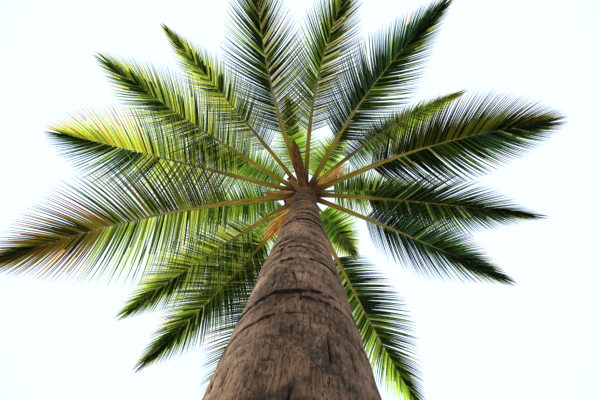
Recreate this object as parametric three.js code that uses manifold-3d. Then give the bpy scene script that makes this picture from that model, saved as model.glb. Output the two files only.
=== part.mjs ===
// A coconut palm: a leaning, tapered trunk, the tip of its stem, and a crown of
// feather-shaped fronds, with young fronds, a spear leaf, flower clusters, dry
// spathes and the stubs of old leaf stalks.
//
// Millimetres and degrees, +Z up. The origin is the middle of the flat cut at
// ground level. Azimuth 0 is +X and grows towards +Y.

import * as THREE from 'three';
import { mergeVertices } from 'three/addons/utils/BufferGeometryUtils.js';
import Module from 'manifold-3d';

const wasm = await Module();
wasm.setup();

// Trunk
const TRUNK_HEIGHT = 4470;
const TRUNK_TOP_DIAMETER = 250;
const TRUNK_TAPER_GAIN = 262;
const TRUNK_TAPER_POWER = 2.64;
const FLARE_GAIN = 110;
const FLARE_HEIGHT = 180;
const FOOT_LEAN = 12;
const TOP_LEAN = 6.5;
const SIDE_LEAN = 1.44;
const TRUNK_SIDES = 24;
const TRUNK_RINGS = 18;
const TRUNK_RING_CROWDING = 1.5;

// Tip of the stem above the trunk, which the leaf stalks stand on
const CLEARANCE = 0.3;
const STEM_TIP_LENGTH = 730;
const STEM_TIP_FOOT_RADIUS = 128;
const STEM_TIP_END_RADIUS = 60;
const STEM_TIP_SIDES = 12;
const STEM_TIP_RINGS = 4;

// Leaf stalks and ribs
const LOWEST_LEVEL = 40;
const LEVEL_STEP = 75;
const FOOT_OVERLAP = 25;
const BEND_POWER = 1.4;
const SWEEP_POWER = 1.5;
const MARCH_STEPS = 120;
const STALK_STATIONS = [0, 90, 260, 620];
const STALK_FOOT_FADE = 190;
const RIB_TIP_WIDTH = 9;
const RIB_TAPER_POWER = 2.2;
const STALK_DEPTH_SHARE = 0.56;
const RIB_TOP_SHARE = 0.7;

// Leaflets, each in place of about seven real ones
const LEAFLET_PAIRS = 14;
const LEAFLET_ROOT_SHARE = 0.56;
const LEAFLET_WIDTH_SHARE = 0.8;
const LEAFLET_ANGLE_END = 4;
const LEAFLET_ANGLE_POWER = 1.7;
const LEAFLET_FIRST_SHARE = 0.55;
const LEAFLET_LONGEST_AT = 0.34;
const LEAFLET_FADE_POWER = 1.6;
const LEAFLET_SHOULDER = 0.32;
const LEAFLET_DROOP = 0.22;
const LEAFLET_THICKNESS_SHARE = 0.0105;
const LEAFLET_TEST_MARGIN = 2;
const LEAFLET_TRIALS = [1, 0.82, 0.66, 0.5, 0.36];

// What all full-grown and all young fronds share: the angle of the first leaflets
// to the rib, the share of the full length that the last ones have, how blunt the
// far end is, how far the rib bends down by the tip, the rise of the leaflets from
// it, its roll by the tip, the greatest width of the stalk's foot, the stalk's
// width, and the length that is bare of leaflets.
const FULL_GROWN = {
  spread: 64, last: 0.42, blunt: 1, bend: 53, vee: -12, roll: 0, foot: 98, stalk: 66, bare: 1150,
};
const YOUNG = {
  spread: 64, last: 0.42, blunt: 1, bend: 42, vee: 14, roll: 0, foot: 66, stalk: 44, bare: 800,
};

// Each frond: the azimuth of its stalk, its rise from level, how far it sweeps
// sideways by the tip, its level on the stem's tip, its length, and the length
// of its longest leaflet. A value named here takes the place of the shared one.
const FRONDS = [
  {
    azimuth: -25, rise: 32, sweep: 20, level: 0, length: 4000, leaflet: 860,
    last: 0.4, blunt: 1.6, stalk: 74,
  },
  { azimuth: 2.5, rise: 36, sweep: 6, level: 3, length: 4000, leaflet: 840, vee: -14, roll: 55 },
  { azimuth: 20, rise: 40, sweep: 6, level: 1, length: 3900, leaflet: 820, roll: -38 },
  {
    azimuth: 63, rise: 36, sweep: -4, level: 0, length: 4450, leaflet: 780,
    spread: 76, last: 0.2, vee: -16,
  },
  { azimuth: 110, rise: 36, sweep: 4, level: 1, length: 4300, leaflet: 920, spread: 78 },
  { azimuth: 130, rise: 37, sweep: 9, level: 4, length: 4250, leaflet: 840, vee: -14 },
  { azimuth: 149, rise: 42, sweep: -5, level: 2, length: 4050, leaflet: 840 },
  { azimuth: 175, rise: 27, sweep: -17, level: 0.8, length: 4650, leaflet: 1120, spread: 84, stalk: 80 },
  {
    azimuth: 195, rise: 33, sweep: -2, level: 3, length: 4250, leaflet: 920,
    spread: 78, last: 0.35, blunt: 1.8,
  },
  { azimuth: 212, rise: 39, sweep: 5, level: 1.5, length: 4370, leaflet: 880, blunt: 1.3 },
  { azimuth: 231.5, rise: 42, sweep: -3, level: 4, length: 4450, leaflet: 740, last: 0.28, vee: -14 },
  { azimuth: 251, rise: 37, sweep: 17, level: 2.2, length: 4450, leaflet: 940, roll: 18, stalk: 76 },
  { azimuth: 273, rise: 36, sweep: 24, level: 5, length: 4400, leaflet: 860, vee: -14, roll: 22 },
  { azimuth: 299, rise: 39, sweep: 17, level: 1, length: 4350, leaflet: 880 },
  { azimuth: 319, rise: 43, sweep: 18, level: 6, length: 4100, leaflet: 700, bend: 45, vee: 42, roll: -20 },
];
const YOUNG_FRONDS = [
  { azimuth: 356, rise: 58, sweep: 6, level: 7, length: 3800, leaflet: 680 },
  { azimuth: 47, rise: 66, sweep: 6, level: 6, length: 2500, leaflet: 620, bend: 36 },
  { azimuth: 92, rise: 60, sweep: 6, level: 8, length: 4100, leaflet: 720 },
  { azimuth: 138, rise: 64, sweep: -6, level: 7, length: 3900, leaflet: 700 },
  { azimuth: 169, rise: 57, sweep: 6, level: 6, length: 3900, leaflet: 720 },
  { azimuth: 207, rise: 62, sweep: -6, level: 8, length: 3900, leaflet: 720 },
  { azimuth: 258, rise: 67, sweep: 6, level: 7, length: 3700, leaflet: 680, bend: 38 },
  { azimuth: 306, rise: 71, sweep: -6, level: 8, length: 3600, leaflet: 660, bend: 34 },
];

// Spear leaf, still folded, above the stem's tip. Each station is a share of its
// length and a share of its greatest radius.
const SPEAR_LENGTH = 1900;
const SPEAR_RADIUS = 34;
const SPEAR_SIDES = 6;
const SPEAR_STATIONS = [[0, 1], [0.45, 0.8], [0.85, 0.4]];

// Flower clusters: a stalk that ends in strands, which spread less towards its end
const CLUSTER_STALK = 430;
const CLUSTER_STALK_RADIUS = 20;
const CLUSTER_STALK_END_RADIUS = 12;
const CLUSTER_STALK_SIDES = 5;
const STRANDS = 9;
const STRANDS_START = 0.25;
const STRANDS_END = 0.97;
const STRAND_LENGTH = 500;
const STRAND_RADIUS = 8;
const STRAND_END_RADIUS = 3.2;
const STRAND_SIDES = 3;
const STRAND_SPREAD = 23;
const STRAND_LAST_SPREAD = 6;
const GOLDEN_ANGLE = 137.5;
const CLUSTERS = [
  { azimuth: 325.5, rise: 35, height: 152 },
  { azimuth: 133, rise: 20, height: 46 },
];

// Dry spathes, the woody boats that the flowers came out of
const SPATHE_WALL = 9;
const SPATHE_DEPTH_SHARE = 0.62;
const SPATHE_FOOT_SHARE = 0.55;
const SPATHE_BELLY_POWER = 0.8;
const SPATHE_STATIONS = 6;
const SPATHE_BOW_POINTS = 5;
const SPATHE_RIM_ANGLE = 14;
const SPATHES = [
  { azimuth: 259, rise: 38, height: 60, length: 1000, width: 130 },
  { azimuth: 182.5, rise: 28, height: 200, length: 600, width: 92 },
];

// Stubs of stalks that were cut off
const STUB_WIDTH = 84;
const STUB_DEPTH = 46;
const STUB_FLAT_SHARE = 0.6;
const STUB_END_SHARE = 0.82;
const STUBS = [
  { azimuth: 228, rise: 22, height: 40, length: 250 },
  { azimuth: 162, rise: 10, height: 30, length: 190 },
];

// Colour and roughness of each kind of mesh
const FINISHES = {
  bark: { color: 0x84705f, roughness: 0.9 },
  stem: { color: 0x6b5a2e, roughness: 0.8 },
  frond: { color: 0x3f6a1c, roughness: 0.55 },
  youngFrond: { color: 0x74a82c, roughness: 0.5 },
  flower: { color: 0xc98a3c, roughness: 0.7 },
  spathe: { color: 0x7a4a26, roughness: 0.8 },
  stub: { color: 0x4a3320, roughness: 0.85 },
};

const up = new THREE.Vector3(0, 0, 1);

// A unit vector at an azimuth and a rise above level, both in degrees.
function heading(azimuth, rise) {
  const a = THREE.MathUtils.degToRad(azimuth);
  const e = THREE.MathUtils.degToRad(rise);
  return new THREE.Vector3(Math.cos(e) * Math.cos(a), Math.cos(e) * Math.sin(a), Math.sin(e));
}

// The middle of the trunk at a height. Its lean eases from the foot to the top.
function stemCentre(z) {
  const foot = Math.tan(THREE.MathUtils.degToRad(FOOT_LEAN));
  const top = Math.tan(THREE.MathUtils.degToRad(TOP_LEAN));
  const side = Math.tan(THREE.MathUtils.degToRad(SIDE_LEAN));
  const below = Math.min(z, TRUNK_HEIGHT);
  const curved = foot * below - ((foot - top) / (2 * TRUNK_HEIGHT)) * below * below;
  return new THREE.Vector3(side * z, -curved - top * (z - below), z);
}

function trunkRadius(z) {
  const taper = TRUNK_TAPER_GAIN * Math.max(0, 1 - z / TRUNK_HEIGHT) ** TRUNK_TAPER_POWER;
  const flare = FLARE_GAIN * Math.exp(-z / FLARE_HEIGHT);
  return (TRUNK_TOP_DIAMETER + taper + flare) / 2;
}

function stemTipRadius(z) {
  const share = (z - TRUNK_HEIGHT) / STEM_TIP_LENGTH;
  const swell = (STEM_TIP_FOOT_RADIUS - STEM_TIP_END_RADIUS) * Math.cos((share * Math.PI) / 2);
  return STEM_TIP_END_RADIUS + swell;
}

// Collects points and faces. A ring is listed counterclockwise as it is seen
// from where the next ring lies.
class Skin {
  constructor() {
    this.points = [];
    this.faces = [];
  }

  add(point) {
    this.points.push(point.x, point.y, point.z);
    return this.points.length / 3 - 1;
  }

  addRing(points) {
    return points.map((point) => this.add(point));
  }

  quad(a, b, c, d) {
    this.faces.push(a, b, c, a, c, d);
  }

  loft(from, to) {
    from.forEach((start, k) => {
      const next = (k + 1) % from.length;
      this.quad(start, from[next], to[next], to[k]);
    });
  }

  cone(ring, apex) {
    ring.forEach((start, k) => this.faces.push(start, ring[(k + 1) % ring.length], apex));
  }

  cap(ring, facesBack) {
    for (let k = 1; k < ring.length - 1; k += 1) {
      if (facesBack) {
        this.faces.push(ring[0], ring[k + 1], ring[k]);
      } else {
        this.faces.push(ring[0], ring[k], ring[k + 1]);
      }
    }
  }

  geometry() {
    const shape = new THREE.BufferGeometry();
    shape.setAttribute('position', new THREE.Float32BufferAttribute(this.points, 3));
    shape.setIndex(this.faces);
    return shape;
  }
}

function toSolid(geometry) {
  const merged = mergeVertices(geometry, 0.001);
  return new wasm.Manifold(new wasm.Mesh({
    numProp: 3,
    vertProperties: new Float32Array(merged.attributes.position.array),
    triVerts: new Uint32Array(merged.index.array),
  }));
}

function fromSolid(solid) {
  const mesh = solid.getMesh();
  const shape = new THREE.BufferGeometry();
  shape.setAttribute('position', new THREE.Float32BufferAttribute(mesh.vertProperties, 3));
  shape.setIndex(Array.from(mesh.triVerts));
  return shape;
}

// Level rings of a round stem between two heights.
function levelRing(skin, z, radius, sides) {
  const centre = stemCentre(z);
  const points = Array.from({ length: sides }, (_, k) => (
    heading((360 * k) / sides, 0).multiplyScalar(radius).add(centre)
  ));
  return skin.addRing(points);
}

function roundStem(heights, radiusAt, sides) {
  const skin = new Skin();
  const rings = heights.map((z) => levelRing(skin, z, radiusAt(z), sides));
  rings.slice(1).forEach((ring, k) => skin.loft(rings[k], ring));
  skin.cap(rings[0], true);
  skin.cap(rings[rings.length - 1], false);
  return skin.geometry();
}

// The rings of the trunk crowd together towards its flared foot.
function trunkShape() {
  const heights = Array.from({ length: TRUNK_RINGS + 1 }, (_, k) => (
    TRUNK_HEIGHT * (k / TRUNK_RINGS) ** TRUNK_RING_CROWDING
  ));
  return roundStem(heights, trunkRadius, TRUNK_SIDES);
}

function stemTipShape() {
  const heights = Array.from({ length: STEM_TIP_RINGS + 1 }, (_, k) => (
    TRUNK_HEIGHT + CLEARANCE + ((STEM_TIP_LENGTH - CLEARANCE) * k) / STEM_TIP_RINGS
  ));
  return roundStem(heights, stemTipRadius, STEM_TIP_SIDES);
}

// Walks along a frond's rib in short steps from the stem's surface, and gives a
// function from a distance to the place, heading and cross directions there.
function ribCourse(frond) {
  const level = TRUNK_HEIGHT + LOWEST_LEVEL + LEVEL_STEP * frond.level;
  const step = frond.length / MARCH_STEPS;
  const foot = stemTipRadius(level) - FOOT_OVERLAP;
  let place = stemCentre(level).addScaledVector(heading(frond.azimuth, 0), foot);
  const headingAt = (share) => heading(
    frond.azimuth + frond.sweep * share ** SWEEP_POWER,
    frond.rise - frond.bend * share ** BEND_POWER,
  );
  const places = [place];
  for (let k = 0; k < MARCH_STEPS; k += 1) {
    place = place.clone().addScaledVector(headingAt((k + 0.5) / MARCH_STEPS), step);
    places.push(place);
  }
  return (distance) => {
    const share = distance / frond.length;
    const index = Math.min(Math.floor(distance / step), MARCH_STEPS - 1);
    const ahead = headingAt(share);
    const flat = up.clone().cross(ahead).normalize();
    const roll = THREE.MathUtils.degToRad(frond.roll * share);
    const side = flat.applyAxisAngle(ahead, roll);
    return {
      place: places[index].clone().lerp(places[index + 1], distance / step - index),
      ahead,
      side,
      over: ahead.clone().cross(side),
    };
  };
}

// Full width of the stalk and rib: wide at the foot, then slender to the tip.
function ribWidth(frond, distance) {
  const share = Math.max(0, distance - frond.bare) / (frond.length - frond.bare);
  const foot = (frond.foot - frond.stalk) * Math.exp(-distance / STALK_FOOT_FADE);
  return RIB_TIP_WIDTH + (frond.stalk - RIB_TIP_WIDTH) * (1 - share) ** RIB_TAPER_POWER + foot;
}

// The corners of a rib section that is narrower on top.
function ribCorners(frond, course, distance) {
  const at = course(distance);
  const half = ribWidth(frond, distance) / 2;
  const depth = half * STALK_DEPTH_SHARE;
  const corner = (across, over) => at.place.clone()
    .addScaledVector(at.side, across)
    .addScaledVector(at.over, over);
  return {
    leftTop: corner(half * RIB_TOP_SHARE, depth),
    rightTop: corner(-half * RIB_TOP_SHARE, depth),
    rightBottom: corner(-half, -depth),
    leftBottom: corner(half, -depth),
  };
}

// A section's corners in the order of a ring, as points or as point numbers.
function asRing(section) {
  return [section.leftTop, section.rightTop, section.rightBottom, section.leftBottom];
}

function addSection(skin, corners) {
  const [leftTop, rightTop, rightBottom, leftBottom] = skin.addRing(asRing(corners));
  return { leftTop, rightTop, rightBottom, leftBottom };
}

// The side of the rib between two sections, in the order of a leaflet's root.
function sideRing(back, front, hand) {
  return hand > 0
    ? [back.leftTop, front.leftTop, front.leftBottom, back.leftBottom]
    : [front.rightTop, back.rightTop, back.rightBottom, front.rightBottom];
}

// The two rib sections that each pair of leaflets grows from.
function leafletRoots(frond) {
  const pitch = (frond.length - frond.bare) / LEAFLET_PAIRS;
  return Array.from({ length: LEAFLET_PAIRS }, (_, k) => {
    const start = frond.bare + pitch * k;
    return { pitch, start, end: start + pitch * LEAFLET_ROOT_SHARE };
  });
}

// A leaflet's size and direction by its share of the way along the blade.
// hand is 1 for the left side of the rib and -1 for the right.
function leafletPlan(frond, course, root, hand, trial) {
  const middle = (root.start + root.end) / 2;
  const at = course(middle);
  const share = (middle - frond.bare) / (frond.length - frond.bare);
  const rising = Math.sin((Math.PI / 2) * Math.min(1, share / LEAFLET_LONGEST_AT));
  const fading = Math.max(0, (share - LEAFLET_LONGEST_AT) / (1 - LEAFLET_LONGEST_AT));
  const fullness = LEAFLET_FIRST_SHARE + (1 - LEAFLET_FIRST_SHARE) * rising
    - (1 - frond.last) * fading ** (LEAFLET_FADE_POWER * frond.blunt);
  const angle = THREE.MathUtils.degToRad(
    frond.spread + (LEAFLET_ANGLE_END - frond.spread) * share ** (LEAFLET_ANGLE_POWER * frond.blunt),
  );
  const vee = THREE.MathUtils.degToRad(frond.vee);
  const outward = at.side.clone().multiplyScalar(hand * Math.cos(vee))
    .addScaledVector(at.over, Math.sin(vee));
  const ahead = at.ahead.clone().multiplyScalar(Math.cos(angle))
    .addScaledVector(outward, Math.sin(angle));
  const hanging = ahead.clone().addScaledVector(up, -LEAFLET_DROOP).normalize();
  const broad = at.ahead.clone().addScaledVector(ahead, -at.ahead.dot(ahead)).normalize();
  const length = frond.leaflet * fullness * trial;
  return {
    origin: at.place.clone().addScaledVector(at.side, (hand * ribWidth(frond, middle)) / 2),
    ahead,
    hanging,
    broad,
    over: broad.clone().cross(ahead).multiplyScalar(hand),
    length,
    width: root.pitch * Math.sin(angle) * LEAFLET_WIDTH_SHARE * Math.sqrt(trial),
    thickness: length * LEAFLET_THICKNESS_SHARE,
  };
}

// The ring at a leaflet's shoulder, where it is widest, in the order of its root.
function shoulderRing(plan, hand, margin) {
  const centre = plan.origin.clone().addScaledVector(plan.ahead, plan.length * LEAFLET_SHOULDER);
  const half = plan.width / 2 + margin;
  const thick = plan.thickness / 2 + margin;
  const corner = (front, top) => centre.clone()
    .addScaledVector(plan.broad, front * hand * half)
    .addScaledVector(plan.over, top * thick);
  return [corner(-1, 1), corner(1, 1), corner(1, -1), corner(-1, -1)];
}

function leafletTip(plan, margin) {
  const shoulder = plan.origin.clone().addScaledVector(plan.ahead, plan.length * LEAFLET_SHOULDER);
  return shoulder.addScaledVector(plan.hanging, plan.length * (1 - LEAFLET_SHOULDER) + margin);
}

// A leaflet on its own, slightly enlarged, to test what it would touch.
function leafletProbe(frond, course, root, hand, plan) {
  const skin = new Skin();
  const back = ribCorners(frond, course, root.start);
  const front = ribCorners(frond, course, root.end);
  const base = skin.addRing(sideRing(back, front, hand));
  const shoulder = skin.addRing(shoulderRing(plan, hand, LEAFLET_TEST_MARGIN));
  const tip = skin.add(leafletTip(plan, LEAFLET_TEST_MARGIN));
  skin.cap(base, true);
  skin.loft(base, shoulder);
  skin.cone(shoulder, tip);
  return skin.geometry();
}

// Grows one leaflet out of the side of the rib between two sections.
function growLeaflet(skin, back, front, hand, plan) {
  const base = sideRing(back, front, hand);
  const shoulder = skin.addRing(shoulderRing(plan, hand, 0));
  skin.loft(base, shoulder);
  skin.cone(shoulder, skin.add(leafletTip(plan, 0)));
}

// A stalk and rib, with or without its leaflets. plans holds, for each root, the
// leaflet of each side or null where that one is skipped.
function frondShape(frond, course, plans) {
  const skin = new Skin();
  const sectionAt = (distance) => addSection(skin, ribCorners(frond, course, distance));
  const stalk = STALK_STATIONS.map(sectionAt);
  skin.cap(asRing(stalk[0]), true);
  stalk.slice(1).forEach((section, k) => skin.loft(asRing(stalk[k]), asRing(section)));
  let last = stalk[stalk.length - 1];
  leafletRoots(frond).forEach((root, k) => {
    const back = sectionAt(root.start);
    const front = sectionAt(root.end);
    skin.loft(asRing(last), asRing(back));
    skin.quad(back.leftTop, back.rightTop, front.rightTop, front.leftTop);
    skin.quad(back.rightBottom, back.leftBottom, front.leftBottom, front.rightBottom);
    [1, -1].forEach((hand) => {
      const plan = plans[k] && plans[k][hand];
      if (plan) {
        growLeaflet(skin, back, front, hand, plan);
      } else {
        skin.quad(...sideRing(back, front, hand));
      }
    });
    last = front;
  });
  skin.cone(asRing(last), skin.add(course(frond.length).place));
  return skin.geometry();
}

// Everything placed so far, which a new leaflet has to stay clear of.
class Crown {
  constructor() {
    this.placed = [];
  }

  keep(geometry) {
    geometry.computeBoundingBox();
    this.placed.push({ box: geometry.boundingBox, solid: toSolid(geometry) });
  }

  isFree(geometry, ignored) {
    geometry.computeBoundingBox();
    const solid = toSolid(geometry);
    return !this.placed.some((other, index) => {
      if (index === ignored || !other.box.intersectsBox(geometry.boundingBox)) {
        return false;
      }
      return !other.solid.intersect(solid).isEmpty();
    });
  }
}

// Gives a frond each leaflet that fits, at the fullest length that stays clear.
function planLeaflets(crown, frond, course, own) {
  return leafletRoots(frond).map((root) => {
    const pair = {};
    [1, -1].forEach((hand) => {
      const trial = LEAFLET_TRIALS.find((share) => {
        const plan = leafletPlan(frond, course, root, hand, share);
        return crown.isFree(leafletProbe(frond, course, root, hand, plan), own);
      });
      if (trial) {
        pair[hand] = leafletPlan(frond, course, root, hand, trial);
        crown.keep(leafletProbe(frond, course, root, hand, pair[hand]));
      }
    });
    return pair;
  });
}

// Trims the foot of a limb to the stem's tip and the trunk, a hair clear of both.
function trimToStem(geometry) {
  const heights = Array.from({ length: STEM_TIP_RINGS + 1 }, (_, k) => (
    TRUNK_HEIGHT - 2 * CLEARANCE + ((STEM_TIP_LENGTH + 3 * CLEARANCE) * k) / STEM_TIP_RINGS
  ));
  const cutter = roundStem(heights, (z) => stemTipRadius(z) + CLEARANCE, STEM_TIP_SIDES);
  return fromSolid(toSolid(geometry).subtract(toSolid(cutter)));
}

// The directions across a limb: level to its side, and upright to its line.
function across(ahead) {
  const side = up.clone().cross(ahead).normalize();
  return { side, over: ahead.clone().cross(side) };
}

// A tapering rod of few sides along a straight line.
function rod(start, ahead, length, startRadius, endRadius, sides) {
  const skin = new Skin();
  const { side, over } = across(ahead);
  const ringAt = (distance, radius) => skin.addRing(Array.from({ length: sides }, (_, k) => {
    const turn = (2 * Math.PI * k) / sides;
    return start.clone()
      .addScaledVector(ahead, distance)
      .addScaledVector(side, radius * Math.cos(turn))
      .addScaledVector(over, radius * Math.sin(turn));
  }));
  const first = ringAt(0, startRadius);
  const last = ringAt(length, endRadius);
  skin.cap(first, true);
  skin.loft(first, last);
  skin.cap(last, false);
  return skin.geometry();
}

function spearShape() {
  const foot = stemCentre(TRUNK_HEIGHT + STEM_TIP_LENGTH + CLEARANCE);
  const skin = new Skin();
  const rings = SPEAR_STATIONS.map(([share, thickness]) => skin.addRing(
    Array.from({ length: SPEAR_SIDES }, (_, k) => (
      heading((360 * k) / SPEAR_SIDES, 0).multiplyScalar(SPEAR_RADIUS * thickness)
        .add(foot).addScaledVector(up, SPEAR_LENGTH * share)
    )),
  ));
  skin.cap(rings[0], true);
  rings.slice(1).forEach((ring, k) => skin.loft(rings[k], ring));
  const tip = foot.clone().addScaledVector(up, SPEAR_LENGTH);
  skin.cone(rings[rings.length - 1], skin.add(tip));
  return skin.geometry();
}

// Where a limb with this azimuth and height leaves the stem's tip.
function stemFoot(azimuth, height) {
  const z = TRUNK_HEIGHT + height;
  const reach = stemTipRadius(z) - FOOT_OVERLAP;
  return stemCentre(z).addScaledVector(heading(azimuth, 0), reach);
}

// A stalk that ends in a brush of strands, set round its line by the golden angle.
function clusterShape({ azimuth, rise, height }) {
  const line = heading(azimuth, rise);
  const foot = stemFoot(azimuth, height);
  let whole = toSolid(rod(
    foot, line, CLUSTER_STALK, CLUSTER_STALK_RADIUS, CLUSTER_STALK_END_RADIUS, CLUSTER_STALK_SIDES,
  ));
  for (let k = 0; k < STRANDS; k += 1) {
    const share = k / (STRANDS - 1);
    const along = STRANDS_START + (STRANDS_END - STRANDS_START) * share;
    const start = foot.clone().addScaledVector(line, CLUSTER_STALK * along);
    const off = STRAND_SPREAD + (STRAND_LAST_SPREAD - STRAND_SPREAD) * share;
    const turn = THREE.MathUtils.degToRad(GOLDEN_ANGLE * k);
    const ahead = heading(azimuth + off * Math.cos(turn), rise + off * Math.sin(turn));
    whole = whole.add(toSolid(
      rod(start, ahead, STRAND_LENGTH, STRAND_RADIUS, STRAND_END_RADIUS, STRAND_SIDES),
    ));
  }
  return trimToStem(fromSolid(whole));
}

// One curve of a spathe's section, from rim to rim under its line.
function spatheBow(centre, side, over, radius) {
  return Array.from({ length: SPATHE_BOW_POINTS }, (_, j) => {
    const share = j / (SPATHE_BOW_POINTS - 1);
    const turn = THREE.MathUtils.degToRad(SPATHE_RIM_ANGLE + (180 - 2 * SPATHE_RIM_ANGLE) * share);
    return centre.clone()
      .addScaledVector(side, radius * Math.cos(turn))
      .addScaledVector(over, -radius * SPATHE_DEPTH_SHARE * Math.sin(turn));
  });
}

// An open boat: a bowed sheet with one wall thickness, pointed at its far end.
function spatheShape({ azimuth, rise, height, length, width }) {
  const skin = new Skin();
  const ahead = heading(azimuth, rise);
  const { side, over } = across(ahead);
  const foot = stemFoot(azimuth, height);
  const rings = Array.from({ length: SPATHE_STATIONS }, (_, k) => {
    const share = k / SPATHE_STATIONS;
    const belly = Math.sin(Math.PI * share ** SPATHE_BELLY_POWER);
    const half = (width / 2) * (SPATHE_FOOT_SHARE + (1 - SPATHE_FOOT_SHARE) * belly);
    const centre = foot.clone().addScaledVector(ahead, length * share);
    const outer = spatheBow(centre, side, over, half);
    const inner = spatheBow(centre, side, over, half - SPATHE_WALL).reverse();
    return skin.addRing([...outer, ...inner].reverse());
  });
  rings.slice(1).forEach((ring, k) => skin.loft(rings[k], ring));
  skin.cap(rings[0], true);
  skin.cone(rings[rings.length - 1], skin.add(foot.clone().addScaledVector(ahead, length)));
  return trimToStem(skin.geometry());
}

// A short six-sided end of stalk with a slanting cut.
function stubShape({ azimuth, rise, height, length }) {
  const skin = new Skin();
  const ahead = heading(azimuth, rise);
  const { side, over } = across(ahead);
  const foot = stemFoot(azimuth, height);
  const ringAt = (along, slant, scale) => {
    const corner = (sideways, rising) => foot.clone()
      .addScaledVector(ahead, along + slant * rising)
      .addScaledVector(side, (sideways * scale * STUB_WIDTH) / 2)
      .addScaledVector(over, (rising * scale * STUB_DEPTH) / 2);
    return skin.addRing([
      corner(STUB_FLAT_SHARE, 1),
      corner(-STUB_FLAT_SHARE, 1),
      corner(-1, 0),
      corner(-STUB_FLAT_SHARE, -1),
      corner(STUB_FLAT_SHARE, -1),
      corner(1, 0),
    ]);
  };
  const slant = STUB_DEPTH / 2;
  const first = ringAt(0, 0, 1);
  const last = ringAt(length - slant, slant, STUB_END_SHARE);
  skin.cap(first, true);
  skin.loft(first, last);
  skin.cap(last, false);
  return trimToStem(skin.geometry());
}

function meshOf(name, geometry, finish) {
  const mesh = new THREE.Mesh(geometry, new THREE.MeshStandardMaterial(finish));
  mesh.name = name;
  return mesh;
}

// A node's name with its number in two digits.
function numbered(name, index) {
  return `${name}_${String(index + 1).padStart(2, '0')}`;
}

// The stem and everything on it but the fronds, lowest first.
function stemMeshes() {
  return [
    meshOf('trunk', trunkShape(), FINISHES.bark),
    meshOf('stem_tip', stemTipShape(), FINISHES.stem),
    meshOf('spear_leaf', spearShape(), FINISHES.youngFrond),
    ...CLUSTERS.map((plan, k) => (
      meshOf(numbered('flower_cluster', k), clusterShape(plan), FINISHES.flower)
    )),
    ...SPATHES.map((plan, k) => (
      meshOf(numbered('spathe', k), spatheShape(plan), FINISHES.spathe)
    )),
    ...STUBS.map((plan, k) => (
      meshOf(numbered('stalk_stub', k), stubShape(plan), FINISHES.stub)
    )),
  ];
}

// Places every rib first, so that no leaflet of another frond runs through one.
function frondMeshes(stem) {
  const crown = new Crown();
  stem.forEach((mesh) => crown.keep(mesh.geometry));
  const first = crown.placed.length;
  const all = [
    ...FRONDS.map((own, k) => (
      { name: numbered('frond', k), frond: { ...FULL_GROWN, ...own }, finish: FINISHES.frond }
    )),
    ...YOUNG_FRONDS.map((own, k) => (
      { name: numbered('young_frond', k), frond: { ...YOUNG, ...own }, finish: FINISHES.youngFrond }
    )),
  ];
  const courses = all.map(({ frond }) => ribCourse(frond));
  all.forEach(({ frond }, k) => crown.keep(trimToStem(frondShape(frond, courses[k], []))));
  return all.map(({ name, frond, finish }, k) => {
    const plans = planLeaflets(crown, frond, courses[k], first + k);
    return meshOf(name, trimToStem(frondShape(frond, courses[k], plans)), finish);
  });
}

const palm = new THREE.Group();
const stem = stemMeshes();
palm.add(...stem, ...frondMeshes(stem));

export default palm;
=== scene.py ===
"""Dresses a coconut palm: ringed bark, waxy stalks, fine leaflets, flowers and dry sheaths.

Metres and degrees, +Z up, in the frame of the solids: the origin is the middle of the
flat cut at ground level. Azimuth 0 is +X and grows towards +Y. The stem, the ribs and
the leaflets follow the same rules as the solids, with finer steps.
"""

import logging
import math
from dataclasses import dataclass, field
from enum import Enum

import bpy
import numpy as np
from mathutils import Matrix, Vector
from mathutils.kdtree import KDTree


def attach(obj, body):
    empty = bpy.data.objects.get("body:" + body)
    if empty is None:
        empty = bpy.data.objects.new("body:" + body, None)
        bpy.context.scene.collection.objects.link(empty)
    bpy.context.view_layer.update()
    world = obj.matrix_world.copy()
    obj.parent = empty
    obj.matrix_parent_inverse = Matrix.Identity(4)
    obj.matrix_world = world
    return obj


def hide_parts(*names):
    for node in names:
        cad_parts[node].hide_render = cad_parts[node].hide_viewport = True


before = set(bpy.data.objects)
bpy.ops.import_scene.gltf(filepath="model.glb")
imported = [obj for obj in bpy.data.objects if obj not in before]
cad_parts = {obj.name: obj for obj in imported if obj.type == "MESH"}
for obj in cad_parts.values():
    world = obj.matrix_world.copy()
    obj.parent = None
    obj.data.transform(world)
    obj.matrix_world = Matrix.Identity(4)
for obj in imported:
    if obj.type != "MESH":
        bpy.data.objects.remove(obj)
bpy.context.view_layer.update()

log = logging.getLogger("palm")

# Trunk and the tip of its stem
TRUNK_HEIGHT = 4.47
TRUNK_TOP_DIAMETER = 0.25
TRUNK_TAPER_GAIN = 0.262
TRUNK_TAPER_POWER = 2.64
FLARE_GAIN = 0.11
FLARE_HEIGHT = 0.18
FOOT_LEAN = 12.0
TOP_LEAN = 6.5
SIDE_LEAN = 1.44
STEM_TIP_LENGTH = 0.73
STEM_TIP_FOOT_RADIUS = 0.128
STEM_TIP_END_RADIUS = 0.06

# Stalks and ribs
LOWEST_LEVEL = 0.04
LEVEL_STEP = 0.075
FOOT_OVERLAP = 0.025
BEND_POWER = 1.4
SWEEP_POWER = 1.5
MARCH_STEPS = 120
STALK_FOOT_FADE = 0.19
RIB_TIP_WIDTH = 0.009
RIB_TAPER_POWER = 2.2
STALK_DEPTH_SHARE = 0.56

# Leaflets: the solids' rule, with finer steps
LEAFLETS_A_SIDE = 100
LEAFLET_ANGLE_END = 4.0
LEAFLET_ANGLE_POWER = 1.7
LEAFLET_FIRST_SHARE = 0.55
LEAFLET_LONGEST_AT = 0.34
LEAFLET_FADE_POWER = 1.6
LEAFLET_DROOP = 0.22
LEAFLET_TRIALS = (1.0, 0.82, 0.66, 0.5, 0.36)
LEAFLET_WIDTH = 0.041

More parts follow.
